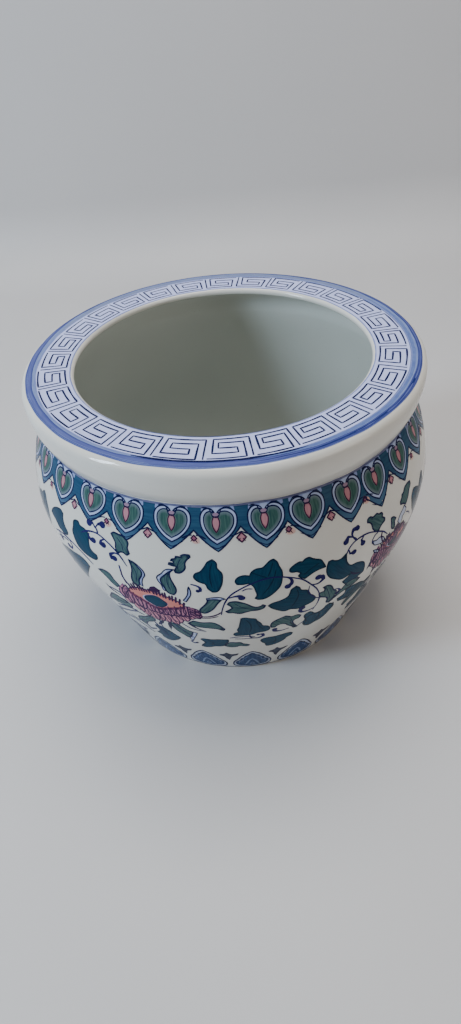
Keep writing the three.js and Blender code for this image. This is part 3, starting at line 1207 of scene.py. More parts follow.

# Lotus scroll: the vine that winds round the bowl. Its leaves are filled in teal and in green with a
# loaded brush and lined in dark blue, and their turned edges are pale. Each shape was set out as
# (angle, height) points of the unit whose blossom is nearest the front.
teal_leaves = {
    "crown": [
        (-6.5, 178.5), (-5.6, 176), (-5.5, 172), (-4.4, 167), (-4.5, 161), (-5.2, 154), (-6.1, 150),
        (-7.2, 149.5), (-8.2, 153), (-8.7, 157.5), (-10.2, 159.5), (-11.3, 163), (-11, 166.5),
        (-9.7, 168.5), (-8.6, 172.5), (-7.7, 176.5),
    ],
    "arch": [
        (8.1, 174.5), (8.9, 172), (9.3, 168.5), (10, 163.5), (10, 156), (9.5, 149.5), (8.3, 144.5),
        (6.6, 139.8), (5.1, 137.8), (3.8, 138.2), (3.1, 140), (3.6, 143), (3.3, 148.5), (2.8, 153.5),
        (1.8, 156.3), (0.2, 156.2), (-1, 156.6), (-1.4, 159.5), (-0.7, 163), (0.8, 164.3), (2.1, 163.6),
        (2.6, 166.6), (3.9, 168.9), (5.3, 169.1), (6.5, 172), (7.4, 174),
    ],
    "frill": [
        (12, 163.2), (13.2, 166), (14.6, 167.4), (15.2, 166.8), (15.9, 168.4), (17, 169), (17.9, 167),
        (18.6, 165.8), (20.1, 163.6), (20.8, 160), (21.5, 155.2), (19.6, 155), (18, 153.8), (15.9, 150.3),
        (14.6, 153), (14.1, 155), (14.7, 157.3), (13.8, 159.4), (12.5, 160), (11.9, 161.5),
    ],
    "heart": [
        (13.6, 145), (14.6, 142), (14.9, 139.3), (16.8, 136), (17.3, 131.5), (18.7, 127), (19.6, 122),
        (19.1, 118), (17, 115.3), (14.8, 113.7), (12.6, 116.2), (11.2, 115.3), (9.6, 118), (7.5, 123.5),
        (6.4, 128), (7.3, 130.2), (9.8, 132), (11.6, 135), (12.1, 139), (12.4, 142.5),
    ],
    "bell": [
        (-0.9, 113.7), (0, 114.6), (1.8, 112.4), (2.9, 111.3), (3.5, 107.5), (4.6, 102), (5.1, 97.2),
        (6.7, 94.3), (7.4, 90), (7, 85.5), (6, 84), (4, 83.6), (1.8, 80.8), (-0.8, 80.4), (-3, 80.3),
        (-3.6, 83), (-3.1, 86.6), (-2, 88.4), (-2.3, 92.5), (-1.7, 98), (-1.2, 107),
    ],
    "horns": [
        (19.2, 101), (20.2, 98), (21.4, 93.8), (23.1, 93.6), (24.3, 96.3), (24.7, 100), (25.7, 101.4),
        (27.4, 97), (28.1, 91.5), (27.4, 85.5), (26.4, 78), (25.2, 74.5), (23.2, 73), (21.4, 71.3),
        (19.8, 73.8), (19, 77), (19.3, 82), (18.9, 87), (17.8, 95), (18, 99),
    ],
    "shield": [
        (5.4, 67.8), (7.2, 69), (9.5, 68.3), (12, 69.2), (14.4, 68.9), (15.6, 66.3), (15.5, 62),
        (14.1, 59.6), (13.5, 56), (11.8, 51.8), (9.4, 49.5), (7.4, 49.6), (6.8, 52), (6.6, 55.4),
        (5.3, 60.5), (4.9, 64.5),
    ],
    "wing": [
        (-15, 69), (-14.2, 71.4), (-11.5, 70.8), (-8.5, 71.8), (-5.8, 72), (-5.7, 68.6), (-6.7, 63),
        (-7.5, 58), (-8.9, 56), (-11, 55), (-13.2, 52), (-15, 51.4), (-15.8, 53.2), (-15, 57.5), (-14, 62),
        (-14.5, 66.5),
    ],
    "root": [
        (-30.1, 76), (-29.6, 79.6), (-28.2, 80.8), (-26.3, 78.5), (-24.9, 74), (-23.5, 67), (-22.8, 63.8),
        (-23.9, 58.5), (-25.8, 53), (-28.5, 48), (-30.3, 47.8), (-31.2, 51.5), (-30.8, 55), (-32.3, 60),
        (-30.9, 63.2), (-29.8, 68), (-29.8, 72),
    ],
}
left_leaf = [
    (-46.8, 180.4), (-45.8, 182.2), (-44.7, 182.2), (-44.3, 180.3), (-42.3, 179.4), (-41.2, 177.6),
    (-41.1, 170), (-40.8, 164.4), (-40, 162.4), (-38.8, 161.2), (-38.7, 158.8), (-39.4, 156), (-41.4, 155),
    (-43.5, 155.6), (-45.1, 157.4), (-46.3, 160.4), (-47.2, 165.6), (-47.6, 170.6), (-47.1, 175.4),
]
lobed_leaf = [
    (22.1, 156.6), (22.5, 160.4), (23.6, 160.4), (24.2, 158.8), (26.1, 157.6), (27.9, 160.6),
    (28.1, 151.4), (29.6, 144.8), (31.4, 144), (34.2, 139.2), (35.1, 132.8), (35.2, 124.8), (33.4, 123),
    (33.7, 115.2), (30.7, 116.6), (28.3, 125), (27.5, 128.6), (29.3, 131.8), (30.1, 134), (27.2, 133),
    (25, 137.2), (22.8, 143.6), (22, 149.8),
]
low_lobe = [
    (34.6, 111.4), (36.7, 108.6), (39.8, 100.2), (41.5, 91.2), (39.6, 92.4), (36.5, 96.8), (35.3, 93.4),
    (33.2, 93.4), (30.5, 96), (29.4, 97.4), (28.3, 104), (29.7, 104.8), (30.6, 107.6), (30.3, 113.2),
    (31.8, 113.2),
]
green_leaves = {
    "tail": [
        (-3.4, 137.5), (-1.8, 138.2), (-0.4, 136.5), (1, 133.8), (2.4, 130), (3.6, 128.5), (4.5, 129.3),
        (5, 130.8), (5.7, 129), (5.2, 126), (3.8, 124.2), (1.8, 124.2), (0.4, 123), (-0.8, 121.6),
        (-2, 122.4), (-2.8, 123.6), (-3.9, 123.5), (-4.6, 125.8), (-3.7, 127.6), (-2.8, 130),
        (-3.2, 132.6), (-4, 135),
    ],
    "drop": [
        (21.4, 132.3), (22.6, 133), (23.7, 131), (24.5, 127.5), (25.3, 122.5), (26.4, 119), (26.3, 113.5),
        (25.5, 108), (24.7, 105), (24, 107), (23.9, 111.5), (23.3, 115.5), (21.6, 119.5), (20.7, 123),
        (20.5, 126.6), (22, 126.6), (22.1, 129.5),
    ],
    "hook": [
        (7.9, 99.5), (8.8, 102.3), (10.3, 104.8), (11.6, 106.5), (12.7, 104.2), (13.4, 102.5), (15.2, 103),
        (16.5, 100), (16, 96), (14.8, 95), (14.4, 91.5), (14.9, 87), (16, 81), (16.6, 77.5), (15.4, 77.5),
        (14.6, 82), (13, 87), (12.1, 91), (11, 92.7), (9.8, 92), (8.9, 88.8), (7.9, 89.5), (7.5, 93.5),
    ],
    "low_tail": [
        (-6.2, 63.6), (-5, 65.8), (-3.4, 65), (-2.1, 65), (-1.1, 61.5), (0.4, 59.4), (1.1, 57.3),
        (0.2, 55.5), (-1.2, 56.2), (-2.4, 56.8), (-3.4, 55), (-5, 54.3), (-6.6, 55.6), (-7.6, 58),
        (-6.8, 60.4),
    ],
    "right_tip": [
        (-11.8, 179.9), (-12, 181.4), (-13.4, 181.4), (-14.2, 180.4), (-14, 179.3), (-15.4, 179.5),
        (-15.6, 177.8), (-16.4, 177.2), (-16.8, 175.7), (-16.2, 175.7), (-16, 174.1), (-17.2, 174.1),
        (-17.4, 172.5), (-16.6, 172), (-15.4, 171.5), (-15.6, 169.9), (-16, 167.8), (-15.8, 166.2),
        (-14.8, 166.2), (-13.8, 168.3), (-13.2, 171), (-13.2, 174.6), (-12.6, 177.8),
    ],
    "left_tip": [
        (-33.2, 185.6), (-32.4, 187.2), (-31.2, 187), (-29, 185.8), (-28, 182.5), (-28.3, 179),
        (-27.8, 174.5), (-28.6, 172.5), (-29.8, 174), (-30.8, 173), (-31.4, 171), (-31.9, 175.5),
        (-31.9, 180), (-32.5, 183),
    ],
    "left_sepal": [
        (-28.3, 169.3), (-27, 168), (-26, 165.5), (-24.9, 160.8), (-25.2, 157), (-26.1, 152.5),
        (-26.3, 148), (-27, 144.5), (-28, 146), (-28.4, 150.5), (-28.1, 156), (-27.7, 161), (-27.8, 165),
    ],
    "right_sepal": [
        (-16.3, 168.6), (-17.3, 165.5), (-17.3, 160.5), (-16.7, 155), (-16.3, 150), (-16.6, 146),
        (-17.3, 143.2), (-18.6, 144.6), (-19.3, 149.5), (-20, 155.5), (-20, 158.2), (-18.8, 162.5),
        (-17.8, 165.5),
    ],
    "side_sepal": [
        (-8.8, 141), (-7.2, 141.2), (-5.3, 140.4), (-6.3, 136.5), (-7.4, 130.5), (-8.7, 125.8),
        (-10.4, 122.6), (-11.5, 124), (-11.2, 128), (-9.9, 133.5), (-9, 138),
    ],
    "right_frond": [
        (-14.2, 108.2), (-12, 106.5), (-8.7, 107.4), (-7.6, 104.5), (-6.4, 98.5), (-5.9, 94.5),
        (-6.5, 92.3), (-8, 95.5), (-10.5, 96.6), (-13.4, 97.4), (-15.2, 100), (-15.8, 104),
    ],
    "lower_frond": [
        (-22.2, 97.5), (-19.8, 96.3), (-18.9, 91.5), (-17.7, 87), (-16.2, 84.3), (-16.8, 79.5), (-18, 72),
        (-18.8, 69.8), (-20.3, 75), (-21.7, 81.5), (-22.2, 89),
    ],
    "left_frond": [
        (-27.9, 98.5), (-27.6, 93), (-28.9, 88.3), (-32, 81.5), (-33.8, 74.5), (-34.8, 69), (-35.9, 71.5),
        (-36.2, 77), (-35.3, 84.5), (-33, 89.8), (-31, 93.3), (-29.4, 97.5),
    ],
    "outer_frond": [
        (-39.5, 115.5), (-37, 115.2), (-34.6, 110.6), (-36.5, 106.5), (-39.5, 105), (-42, 101.5),
        (-44.5, 95.5), (-43.5, 101), (-41.3, 109.5),
    ],
    "left_side_sepal": [
        (-39.9, 145.4), (-38, 147.8), (-35.8, 147), (-35, 142), (-33.6, 135.6), (-35, 132.3),
        (-36.3, 135.3), (-37.6, 140.5), (-38.8, 143.6),
    ],
}
turned_edges = [
    [
        (-27.3, 169), (-25.7, 166.2), (-24.3, 161.3), (-24.2, 158.8), (-25, 154.3), (-25.5, 149.5),
        (-25.5, 146), (-26.2, 147), (-26.1, 152), (-25.2, 157), (-24.9, 160.8), (-26, 165.5),
    ],
    [
        (-16, 168.8), (-18.2, 167.8), (-19.6, 163.5), (-20.9, 159.5), (-20.8, 156.5), (-20, 152),
        (-19.7, 147.5), (-19, 146), (-19.3, 149.5), (-20, 155.5), (-20, 158.2), (-18.8, 162.5),
        (-17.6, 166),
    ],
    [
        (-9, 142.3), (-7.5, 143.3), (-5.6, 143.6), (-4.2, 141.6), (-5.4, 140.8), (-6.5, 141.3), (-8, 141),
        (-8.9, 139.5),
    ],
    [
        (-16.2, 84.5), (-15, 82.8), (-15.8, 77), (-17, 70), (-18, 63.5), (-18.6, 68.5), (-17.5, 74),
        (-16.8, 79.5),
    ],
    [
        (-13, 154.2), (-12.7, 149.5), (-12.9, 145), (-13.7, 140.5), (-14.4, 136.5), (-15.1, 138),
        (-14.1, 142.5), (-13.5, 147), (-13.3, 151),
    ],
]
dark_slivers = [
    [(-16.6, 103), (-15.3, 96.5), (-13.4, 91.3), (-11.8, 90.2), (-13.2, 92.8), (-14.6, 97.5), (-15.8, 103)],
    [(-24.2, 98.5), (-25.4, 95.5), (-27, 89), (-27.7, 84), (-26.4, 87), (-24.9, 92)],
    [(-22.6, 98.3), (-23.4, 93), (-23.9, 86), (-24, 78.5), (-23.1, 85), (-22.3, 92)],
    [
        (-39.8, 128.9), (-39.4, 125.5), (-38.5, 122.6), (-36.4, 119.6), (-34.7, 119.2), (-36.2, 121),
        (-38, 124.3),
    ],
]
vine_strokes = [
    ([(-18.1, 100.2), (-16, 92.2), (-11.7, 88.4)], 1.0),
    ([(-21.3, 96.4), (-19.3, 85), (-17.2, 72.6)], 1.0),
    ([(-25.7, 96), (-26.7, 80.6), (-26.4, 74.2), (-24.5, 70.2)], 1.0),
    ([(0, 149.5), (1.2, 151.3), (2.6, 150.6)], 0.9),
    (
        [
            (-5.9, 120.8), (-5.4, 128.9), (-4.3, 138.8), (-2.8, 146), (0, 152.3), (2, 155.5), (5.1, 158.6),
            (7.9, 159.1), (11.3, 156.4), (15.1, 150.5), (17.5, 142.4), (19.6, 133.4), (20.8, 122.6),
            (20.8, 112.7), (19.9, 102.8),
        ],
        1.15,
    ),
    ([(17.3, 140.6), (17.2, 135), (18.2, 128), (20.2, 121), (22.3, 118), (24.2, 113)], 0.9),
    (
        [
            (-43.8, 175), (-41.5, 179), (-38, 181), (-35, 178.5), (-32.5, 174.5), (-30.6, 169.5),
            (-29, 162.5),
        ],
        1.2,
    ),
    ([(-37.6, 181), (-37.9, 184), (-38.9, 186)], 1.5),
    ([(-31.5, 161), (-31.4, 156.8), (-31.3, 152.3), (-30.9, 147), (-29.9, 141.5)], 1.3),
    ([(-5, 75.6), (-3, 77.2), (0.5, 77.6), (3, 75)], 1.1),
    ([(-3.5, 73.4), (-1, 72.6), (2, 72.2), (5, 71.8)], 1.0),
    ([(16.4, 78.4), (17.4, 82), (18.3, 85)], 1.0),
]
# Each comma has a tail that leaves the vine and a round head.
commas = [
    ([(-40.7, 178), (-40.9, 175.8), (-40.2, 173.6), (-39.2, 173.9)], 1.9),
    ([(-35.3, 179), (-36.5, 176.8), (-36.8, 174.2), (-35.8, 173.9)], 1.9),
    ([(-30.7, 170.4), (-32.2, 171), (-33.8, 168.6), (-33.5, 165.6), (-32.6, 165.9)], 1.9),
    ([(-38.6, 185.6), (-39.4, 187.6), (-40.6, 186.4)], 2.1),
    ([(-38.2, 185.8), (-37.4, 188.6), (-36, 189.4)], 2.1),
    ([(-12.4, 156.6), (-11.4, 156), (-10.2, 153.6), (-10.2, 150.6), (-10.8, 150.2)], 1.3),
    ([(11.1, 156.8), (12.3, 153.5), (12.4, 149.5), (11.4, 146.9)], 1.9),
    ([(-3.4, 142.6), (-1.6, 144.2), (-0.5, 143.8), (-0.2, 141.8)], 2.0),
    ([(17.6, 141.4), (19.6, 140.2), (21.1, 143.2), (20.6, 146.6), (19.6, 147)], 2.1),
    ([(20.4, 106.4), (18.2, 104.6), (16.3, 106), (15.8, 110), (16.2, 112.2)], 2.2),
    ([(13.8, 79.6), (11, 78.6), (9.2, 80.8), (9, 84.2)], 2.0),
    ([(1.3, 80), (1.6, 74.6), (3.6, 71.8), (5.6, 74.6), (5.4, 79), (3.9, 79)], 1.3),
    ([(25.2, 122.5), (26.6, 121.2), (27.6, 117.6), (27, 114.6)], 1.5),
    ([(-17.9, 63.8), (-19, 60.6), (-18, 57.6), (-16.9, 59.6)], 1.1),
]
leaf_veins = [
    [(-6.6, 176), (-7.2, 170), (-7.4, 162), (-7.1, 154)],
    [(7.9, 172), (7.3, 166), (6.5, 160.4)],
    [(2.6, 166.2), (4.4, 163), (6.4, 159.6)],
    [(8.6, 166), (7.9, 158), (6.6, 150), (5, 143)],
    [(19.6, 161), (17.6, 158.6), (15.4, 154.5)],
    [(13.8, 142), (14.4, 134), (13.6, 124), (12.8, 119)],
    [(0.4, 111), (1.4, 104), (1.8, 95), (1.2, 85)],
    [(3.2, 107), (4, 98), (5.4, 89)],
    [(23, 92), (23.6, 85), (23, 77)],
    [(9.6, 66), (10.2, 60), (9.2, 53)],
    [(-12.6, 68), (-11, 63), (-12, 57)],
    [(-28.4, 77), (-27.2, 69), (-28, 58)],
]
leaf_cracks = [
    [(-2.2, 136), (-0.6, 131), (1.6, 127), (4, 126)],
    [(22.6, 130), (23.6, 122), (24.8, 112)],
    [(11, 104), (13.6, 98.5), (13.6, 92), (15, 84)],
    [(-14.2, 178), (-15, 173), (-15, 168)],
    [(-31.4, 184.5), (-30, 180), (-29.6, 175)],
    [(-27.4, 165), (-26.6, 158), (-27.2, 149)],
    [(-17.9, 164), (-18.4, 157), (-17.8, 148)],
    [(-20.4, 94), (-19.6, 86), (-19, 75)],
    [(-29, 94), (-31.6, 87), (-34.6, 77)],
]
teal_paint, green_paint, pale_paint, sliver_paint = (new_coat(bowl_point) for _ in range(4))
vine_paint, outline_paint, vein_paint = (new_coat(bowl_point) for _ in range(3))
# Millimetres of one degree round the belly.
belly_degree = 2.6
# Marks further to the left than this belong to the blossom, and rise with it.
bloom_side = -9.0
# How far a shape is turned, grown and moved at most when it is repeated loosely.
loose_turn, loose_growth, loose_slide, loose_climb = 0.12, 0.07, 1.2, 2.0
comma_growth = 1.22
comma_tail = 1.2
comma_bend = 1.4
comma_reach = 0.73
head_share = 0.375


def comma_width(size):
    """Width of a comma's stroke, from its thin tail to its round head."""

    def width(share):
        return comma_tail + (2 * size - comma_tail) * max(0.0, share - 0.2) ** comma_bend / comma_reach

    return width


def paint_marks(teal=(), green=(), edges=(), slivers=(), vines=(), curls=()):
    """Paints leaves, turned leaf edges, vines and commas where they are given."""
    for number, leaf in enumerate(teal):
        coat_patch(teal_paint, leaf, wash_lift + overlap * (number % 3))
        coat_stroke(vein_paint, leaf, 0.9, lift=wash_lift + 0.05, closed=True)
    for number, leaf in enumerate(green):
        coat_patch(green_paint, leaf, body_lift + overlap * (number % 2), 2.6)
        coat_stroke(outline_paint, leaf, 1.0, closed=True)
    for edge in edges:
        coat_patch(pale_paint, edge, detail_lift, 2.0)
        coat_stroke(outline_paint, edge, 0.95, closed=True)
    for sliver in slivers:
        coat_patch(sliver_paint, sliver, body_lift, 2.0)
    for path, width in vines:
        coat_stroke(vine_paint, path, width, ends=(0.7, 0.5))
    for path, size in curls:
        coat_stroke(vine_paint, path, comma_width(size), ends=(0.8, 0.35))
        coat_patch(vine_paint, oval(*path[-1], size * head_share, size), line_lift + 0.01, 2.0)


def middle_of(points):
    return sum(a for a, _ in points) / len(points), sum(h for _, h in points) / len(points)


def paint_scroll(shift, raise_field, raise_bloom, lobed, looseness, leaves_out):
    """Paints one unit of the scroll, turned by shift degrees."""

    def lift_of(points):
        return raise_bloom if middle_of(points)[0] < bloom_side else raise_field

    def drawn(shapes):
        return [points for points in shapes if not leaves_out(*middle_of(points))]

    def loose(points):
        """The shape, a little turned, grown and moved, as a painter repeats it."""
        middle_angle, middle_height = middle_of(points)
        swing = looseness * brush.uniform(-loose_turn, loose_turn)
        grow = 1 + looseness * brush.uniform(-loose_growth, loose_growth)
        slide = looseness * brush.uniform(-loose_slide, loose_slide)
        climb = looseness * brush.uniform(-loose_climb, loose_climb)
        placed = []
        for angle, height in points:
            across, up = (angle - middle_angle) * belly_degree, height - middle_height
            turned_across = across * math.cos(swing) - up * math.sin(swing)
            turned_up = across * math.sin(swing) + up * math.cos(swing)
            new_angle = middle_angle + turned_across * grow / belly_degree + slide + shift
            placed.append((new_angle, middle_height + turned_up * grow + climb + lift_of(points)))
        return placed

    def moved(points):
        return [(angle + shift, height + lift_of(points)) for angle, height in points]

    teal = drawn(teal_leaves.values())
    if lobed:
        for leaf in (lobed_leaf, low_lobe):
            teal.append([(angle - lobed_from, height - raise_bloom) for angle, height in leaf])
    else:
        teal.append(left_leaf)
    paint_marks(
        teal=[loose(leaf) for leaf in teal],
        green=[loose(leaf) for leaf in drawn(green_leaves.values())],
        edges=[loose(edge) if looseness else moved(edge) for edge in drawn(turned_edges)],
        slivers=[loose(sliver) for sliver in drawn(dark_slivers)],
        vines=[(moved(path), width) for path, width in vine_strokes if drawn([path])],
        curls=[(moved(path), size * comma_growth) for path, size in commas if drawn([path])],
    )
    for vein in drawn(leaf_veins):
        coat_stroke(vein_paint, moved(vein), 0.8, lift=detail_lift)
    for vein in drawn(leaf_cracks):
        coat_stroke(outline_paint, moved(vein), 0.5, lift=detail_lift + 0.01)


# Blossoms: five lotus heads on the scroll. Each is painted petal by petal in mauve, two rows that hang
# below a salmon disc, with a dark seed pod and stamens over it, and every petal is lined in plum.
# Middle of the first blossom, and the millimetres of one degree there.
bloom_angle = -23.0
bloom_height = 130.0
bloom_degree = 2.72
# Half a petal: points by share of its length and of its width.
petal_half = [(0.0, 0.25), (0.25, 0.42), (0.55, 0.5), (0.8, 0.34)]
petal_shape = petal_half + [(1.0, 0.0)] + [(along, -half) for along, half in reversed(petal_half)]
# The blossom: its disc, pod and body, the lines where its rows of petals start and end, and its hat.
bloom_disc = [
    (-31, 135.4), (-29.8, 139.4), (-28.2, 141.8), (-23.8, 142.6), (-21.1, 141.4), (-19, 138.8), (-17, 136),
    (-15.4, 131.6), (-15.7, 128.4), (-17.8, 126.4), (-20.1, 124.6), (-23.4, 121.6), (-25.6, 124.8),
    (-27.4, 129), (-29.4, 131.8),
]
bloom_pod = [
    (-26.1, 133.2), (-24.9, 135.8), (-22.5, 137.4), (-20.9, 133.8), (-20, 130.2), (-20.5, 127),
    (-21.9, 123.8), (-23.6, 123.2), (-24.9, 126), (-26.1, 129.2),
]
bloom_body = [
    (-11, 117), (-11.2, 122), (-11.8, 127), (-13.2, 129.2), (-15.2, 129.8), (-19, 128), (-24, 127),
    (-28.8, 132.6), (-31, 136), (-32.2, 141.2), (-33.7, 135), (-34.4, 128), (-34.4, 123.8), (-33, 118.2),
    (-31.4, 110.8), (-28.7, 103.4), (-26.4, 99.2), (-24.2, 99.4), (-22.2, 100), (-20.2, 99.4),
    (-17.2, 106.4), (-14, 112.6),
]
bloom_spine = [
    (-34.2, 124), (-31.6, 115), (-28.3, 112.2), (-24.9, 111.8), (-21.8, 111.8), (-18.7, 113.2),
    (-10.8, 117),
]
bloom_crest = [
    (-34.2, 133), (-31, 134.6), (-28, 130), (-25.4, 124.4), (-23.4, 121.6), (-20.2, 124.6), (-15.2, 129.8),
    (-10.8, 124),
]
bloom_hem = [
    (-34.2, 123), (-31.6, 109.6), (-28.9, 100.6), (-26.9, 95.6), (-22.6, 97.4), (-20.3, 96), (-17, 104.6),
    (-14, 112), (-10.8, 117),
]
bloom_hat = [(-24.2, 143.4), (-23.5, 147.2), (-22.2, 149), (-20.7, 145.4), (-21.4, 143), (-23, 143.2)]
bloom_marks = [
    ([(-11.6, 116.6), (-9.3, 117.4), (-7.2, 120.6), (-5.6, 125)], 1.3),
    ([(-12, 114.4), (-9.2, 115.2), (-6.8, 118.4)], 0.9),
    ([(-31.2, 156.8), (-31.4, 151.4), (-31, 147.4), (-30.6, 142.8)], 1.3),
    ([(-31.6, 139.6), (-33.2, 133), (-33.8, 126)], 1.2),
    ([(-30.8, 135), (-32.4, 128), (-32.4, 121)], 1.2),
]
# Short petals at the right of the blossom: direction and length of each, the first one's root and the
# step down to the next.
side_petals = [(-20.0, 8.0), (-32.0, 9.5), (-46.0, 10.0)]
side_root = (-14.4, 126.6)
side_step = 3.2
# Petals that stand up behind the disc of a blossom that is turned aside.
upright_petals = 6
upright_root = (-29.6, 129.0)
turned_aside = 0.9
shade_depth = 3.6
# Stamens stand in a row on the disc's far edge, and those behind the pod are shorter.
stamens = 19
first_stamen = -30.4
stamen_pitch = 0.82
stamen_height = (6.0, 8.4)
short_stamens = range(6, 11)
short_stamen_height = (4.0, 5.6)
pod_middle = (-23.1, 130.3)
halo_growth = (1.14, 1.08)
inner_rows, outer_rows, disc_paint = (new_coat(bowl_point) for _ in range(3))
petal_lines, shade_paint = new_coat(bowl_point), new_coat(bowl_point)


def petal(root_angle, root_height, direction, length, width):
    """Outline of a pointed petal that hangs from its root in a direction of degrees from the right."""
    heading = math.radians(direction)
    ahead_x, ahead_y = math.cos(heading), math.sin(heading)
    outline = []
    for along, half in petal_shape:
        x = ahead_x * along * length - ahead_y * half * width
        y = ahead_y * along * length + ahead_x * half * width
        outline.append((root_angle + x / bloom_degree, root_height + y))
    return outline


def height_on(line, angle):
    for (a, low), (b, high) in zip(line, line[1:]):
        if angle <= b:
            return low + (high - low) * (angle - a) / (b - a)
    return line[-1][1]


def paint_bloom(shift, raise_by, narrow):
    """Paints one blossom; narrow is the share of its full size that it is given."""

    def placed(points):
        middle = shift + bloom_angle
        return [
            (middle + (a - bloom_angle) * narrow, bloom_height + (h - bloom_height) * narrow + raise_by)
            for a, h in points
        ]

    def fill(coat, points, lift, grid):
        coat_patch(coat, placed(points), lift, grid)

    def line(points, width, lift=line_lift, ends=(0.45, 0.25)):
        coat_stroke(petal_lines, placed(points), width, lift=lift, ends=ends)

    def paint_petal(coat, root, direction, length, width, lift, rib):
        shape = petal(*root, direction, length, width)
        fill(coat, shape, lift, 2.2)
        line(shape[1:8], 0.95, lift + 0.03, (0.7, 0.7))
        line([root, shape[4]], rib, lift + 0.03, (1.0, 0.1))

    def petal_row(coat, count, first, pitch, stray, start, above, end, ahead, past, lean, width, lift, rib):
        """Petals side by side, that start above one line of the blossom and end past another."""
        for k in range(count):
            angle = first + pitch * k + brush.uniform(-stray, stray)
            root = (angle, height_on(start, angle) + above)
            reach = root[1] - height_on(end, angle + ahead) + past
            direction = lean + brush.uniform(-5, 5)
            paint_petal(coat, root, direction, reach, width, lift + overlap * (k % 2), rib)

    fill(outer_rows, bloom_body, wash_lift, 2.6)
    petal_row(
        outer_rows,
        count=11,
        first=-33.0,
        pitch=2.0,
        stray=0.25,
        start=bloom_spine,
        above=3.0,
        end=bloom_hem,
        ahead=0.6,
        past=1.0,
        lean=-83.0,
        width=8.6,
        lift=wash_lift + overlap,
        rib=0.8,
    )
    petal_row(
        inner_rows,
        count=12,
        first=-33.4,
        pitch=1.9,
        stray=0.2,
        start=bloom_crest,
        above=1.5,
        end=bloom_spine,
        ahead=0.0,
        past=1.5,
        lean=-93.0,
        width=7.4,
        lift=body_lift,
        rib=1.1,
    )
    for k, (direction, length) in enumerate(side_petals):
        root = (side_root[0], side_root[1] - side_step * k)
        paint_petal(inner_rows, root, direction, length, width=5.6, lift=detail_lift + 0.01 * k, rib=1.3)
    line(bloom_spine[1:], 1.2, detail_lift, (0.3, 0.6))
    fill(disc_paint, bloom_disc, detail_lift, 2.4)
    crest = bloom_crest[1:7]
    shade = crest + [(a, h - shade_depth + brush.uniform(-0.5, 0.5)) for a, h in reversed(crest)]
    fill(shade_paint, shade, detail_lift + overlap, 2.2)
    for k in range(stamens):
        angle = first_stamen + stamen_pitch * k + brush.uniform(-0.2, 0.2)
        foot = (angle, height_on(bloom_disc[:8], angle) - 3.0)
        tall = brush.uniform(*(short_stamen_height if k in short_stamens else stamen_height))
        tip = (angle + 0.1 * (angle - bloom_angle) - 0.2, foot[1] + tall)
        line([foot, tip], 1.6, ends=(0.7, 0.3))
    line(bloom_disc[:8], 1.2, ends=(0.6, 0.6))
    fill(petal_lines, bloom_hat, detail_lift + 0.02, 2.0)
    across, up = pod_middle
    wider, taller = halo_growth
    halo = [(across + (a - across) * wider - 0.15, up + (h - up) * taller) for a, h in bloom_pod]
    fill(pale_paint, halo, line_lift, 2.2)
    fill(teal_paint, bloom_pod, line_lift + 0.03, 2.2)
    coat_stroke(outline_paint, placed(bloom_pod), 0.8, lift=line_lift + 0.05, closed=True)
    for path, width in bloom_marks:
        line(path, width)
    if narrow < turned_aside:
        for k in range(upright_petals):
            root = (upright_root[0] + 2.2 * k, upright_root[1] + 0.4 * k)
            direction, length = 104.0 - 6.0 * k, 9.0 + 3.0 * (k % 2)
            paint_petal(inner_rows, root, direction, length, width=6.0, lift=line_lift + 0.05, rib=1.3)


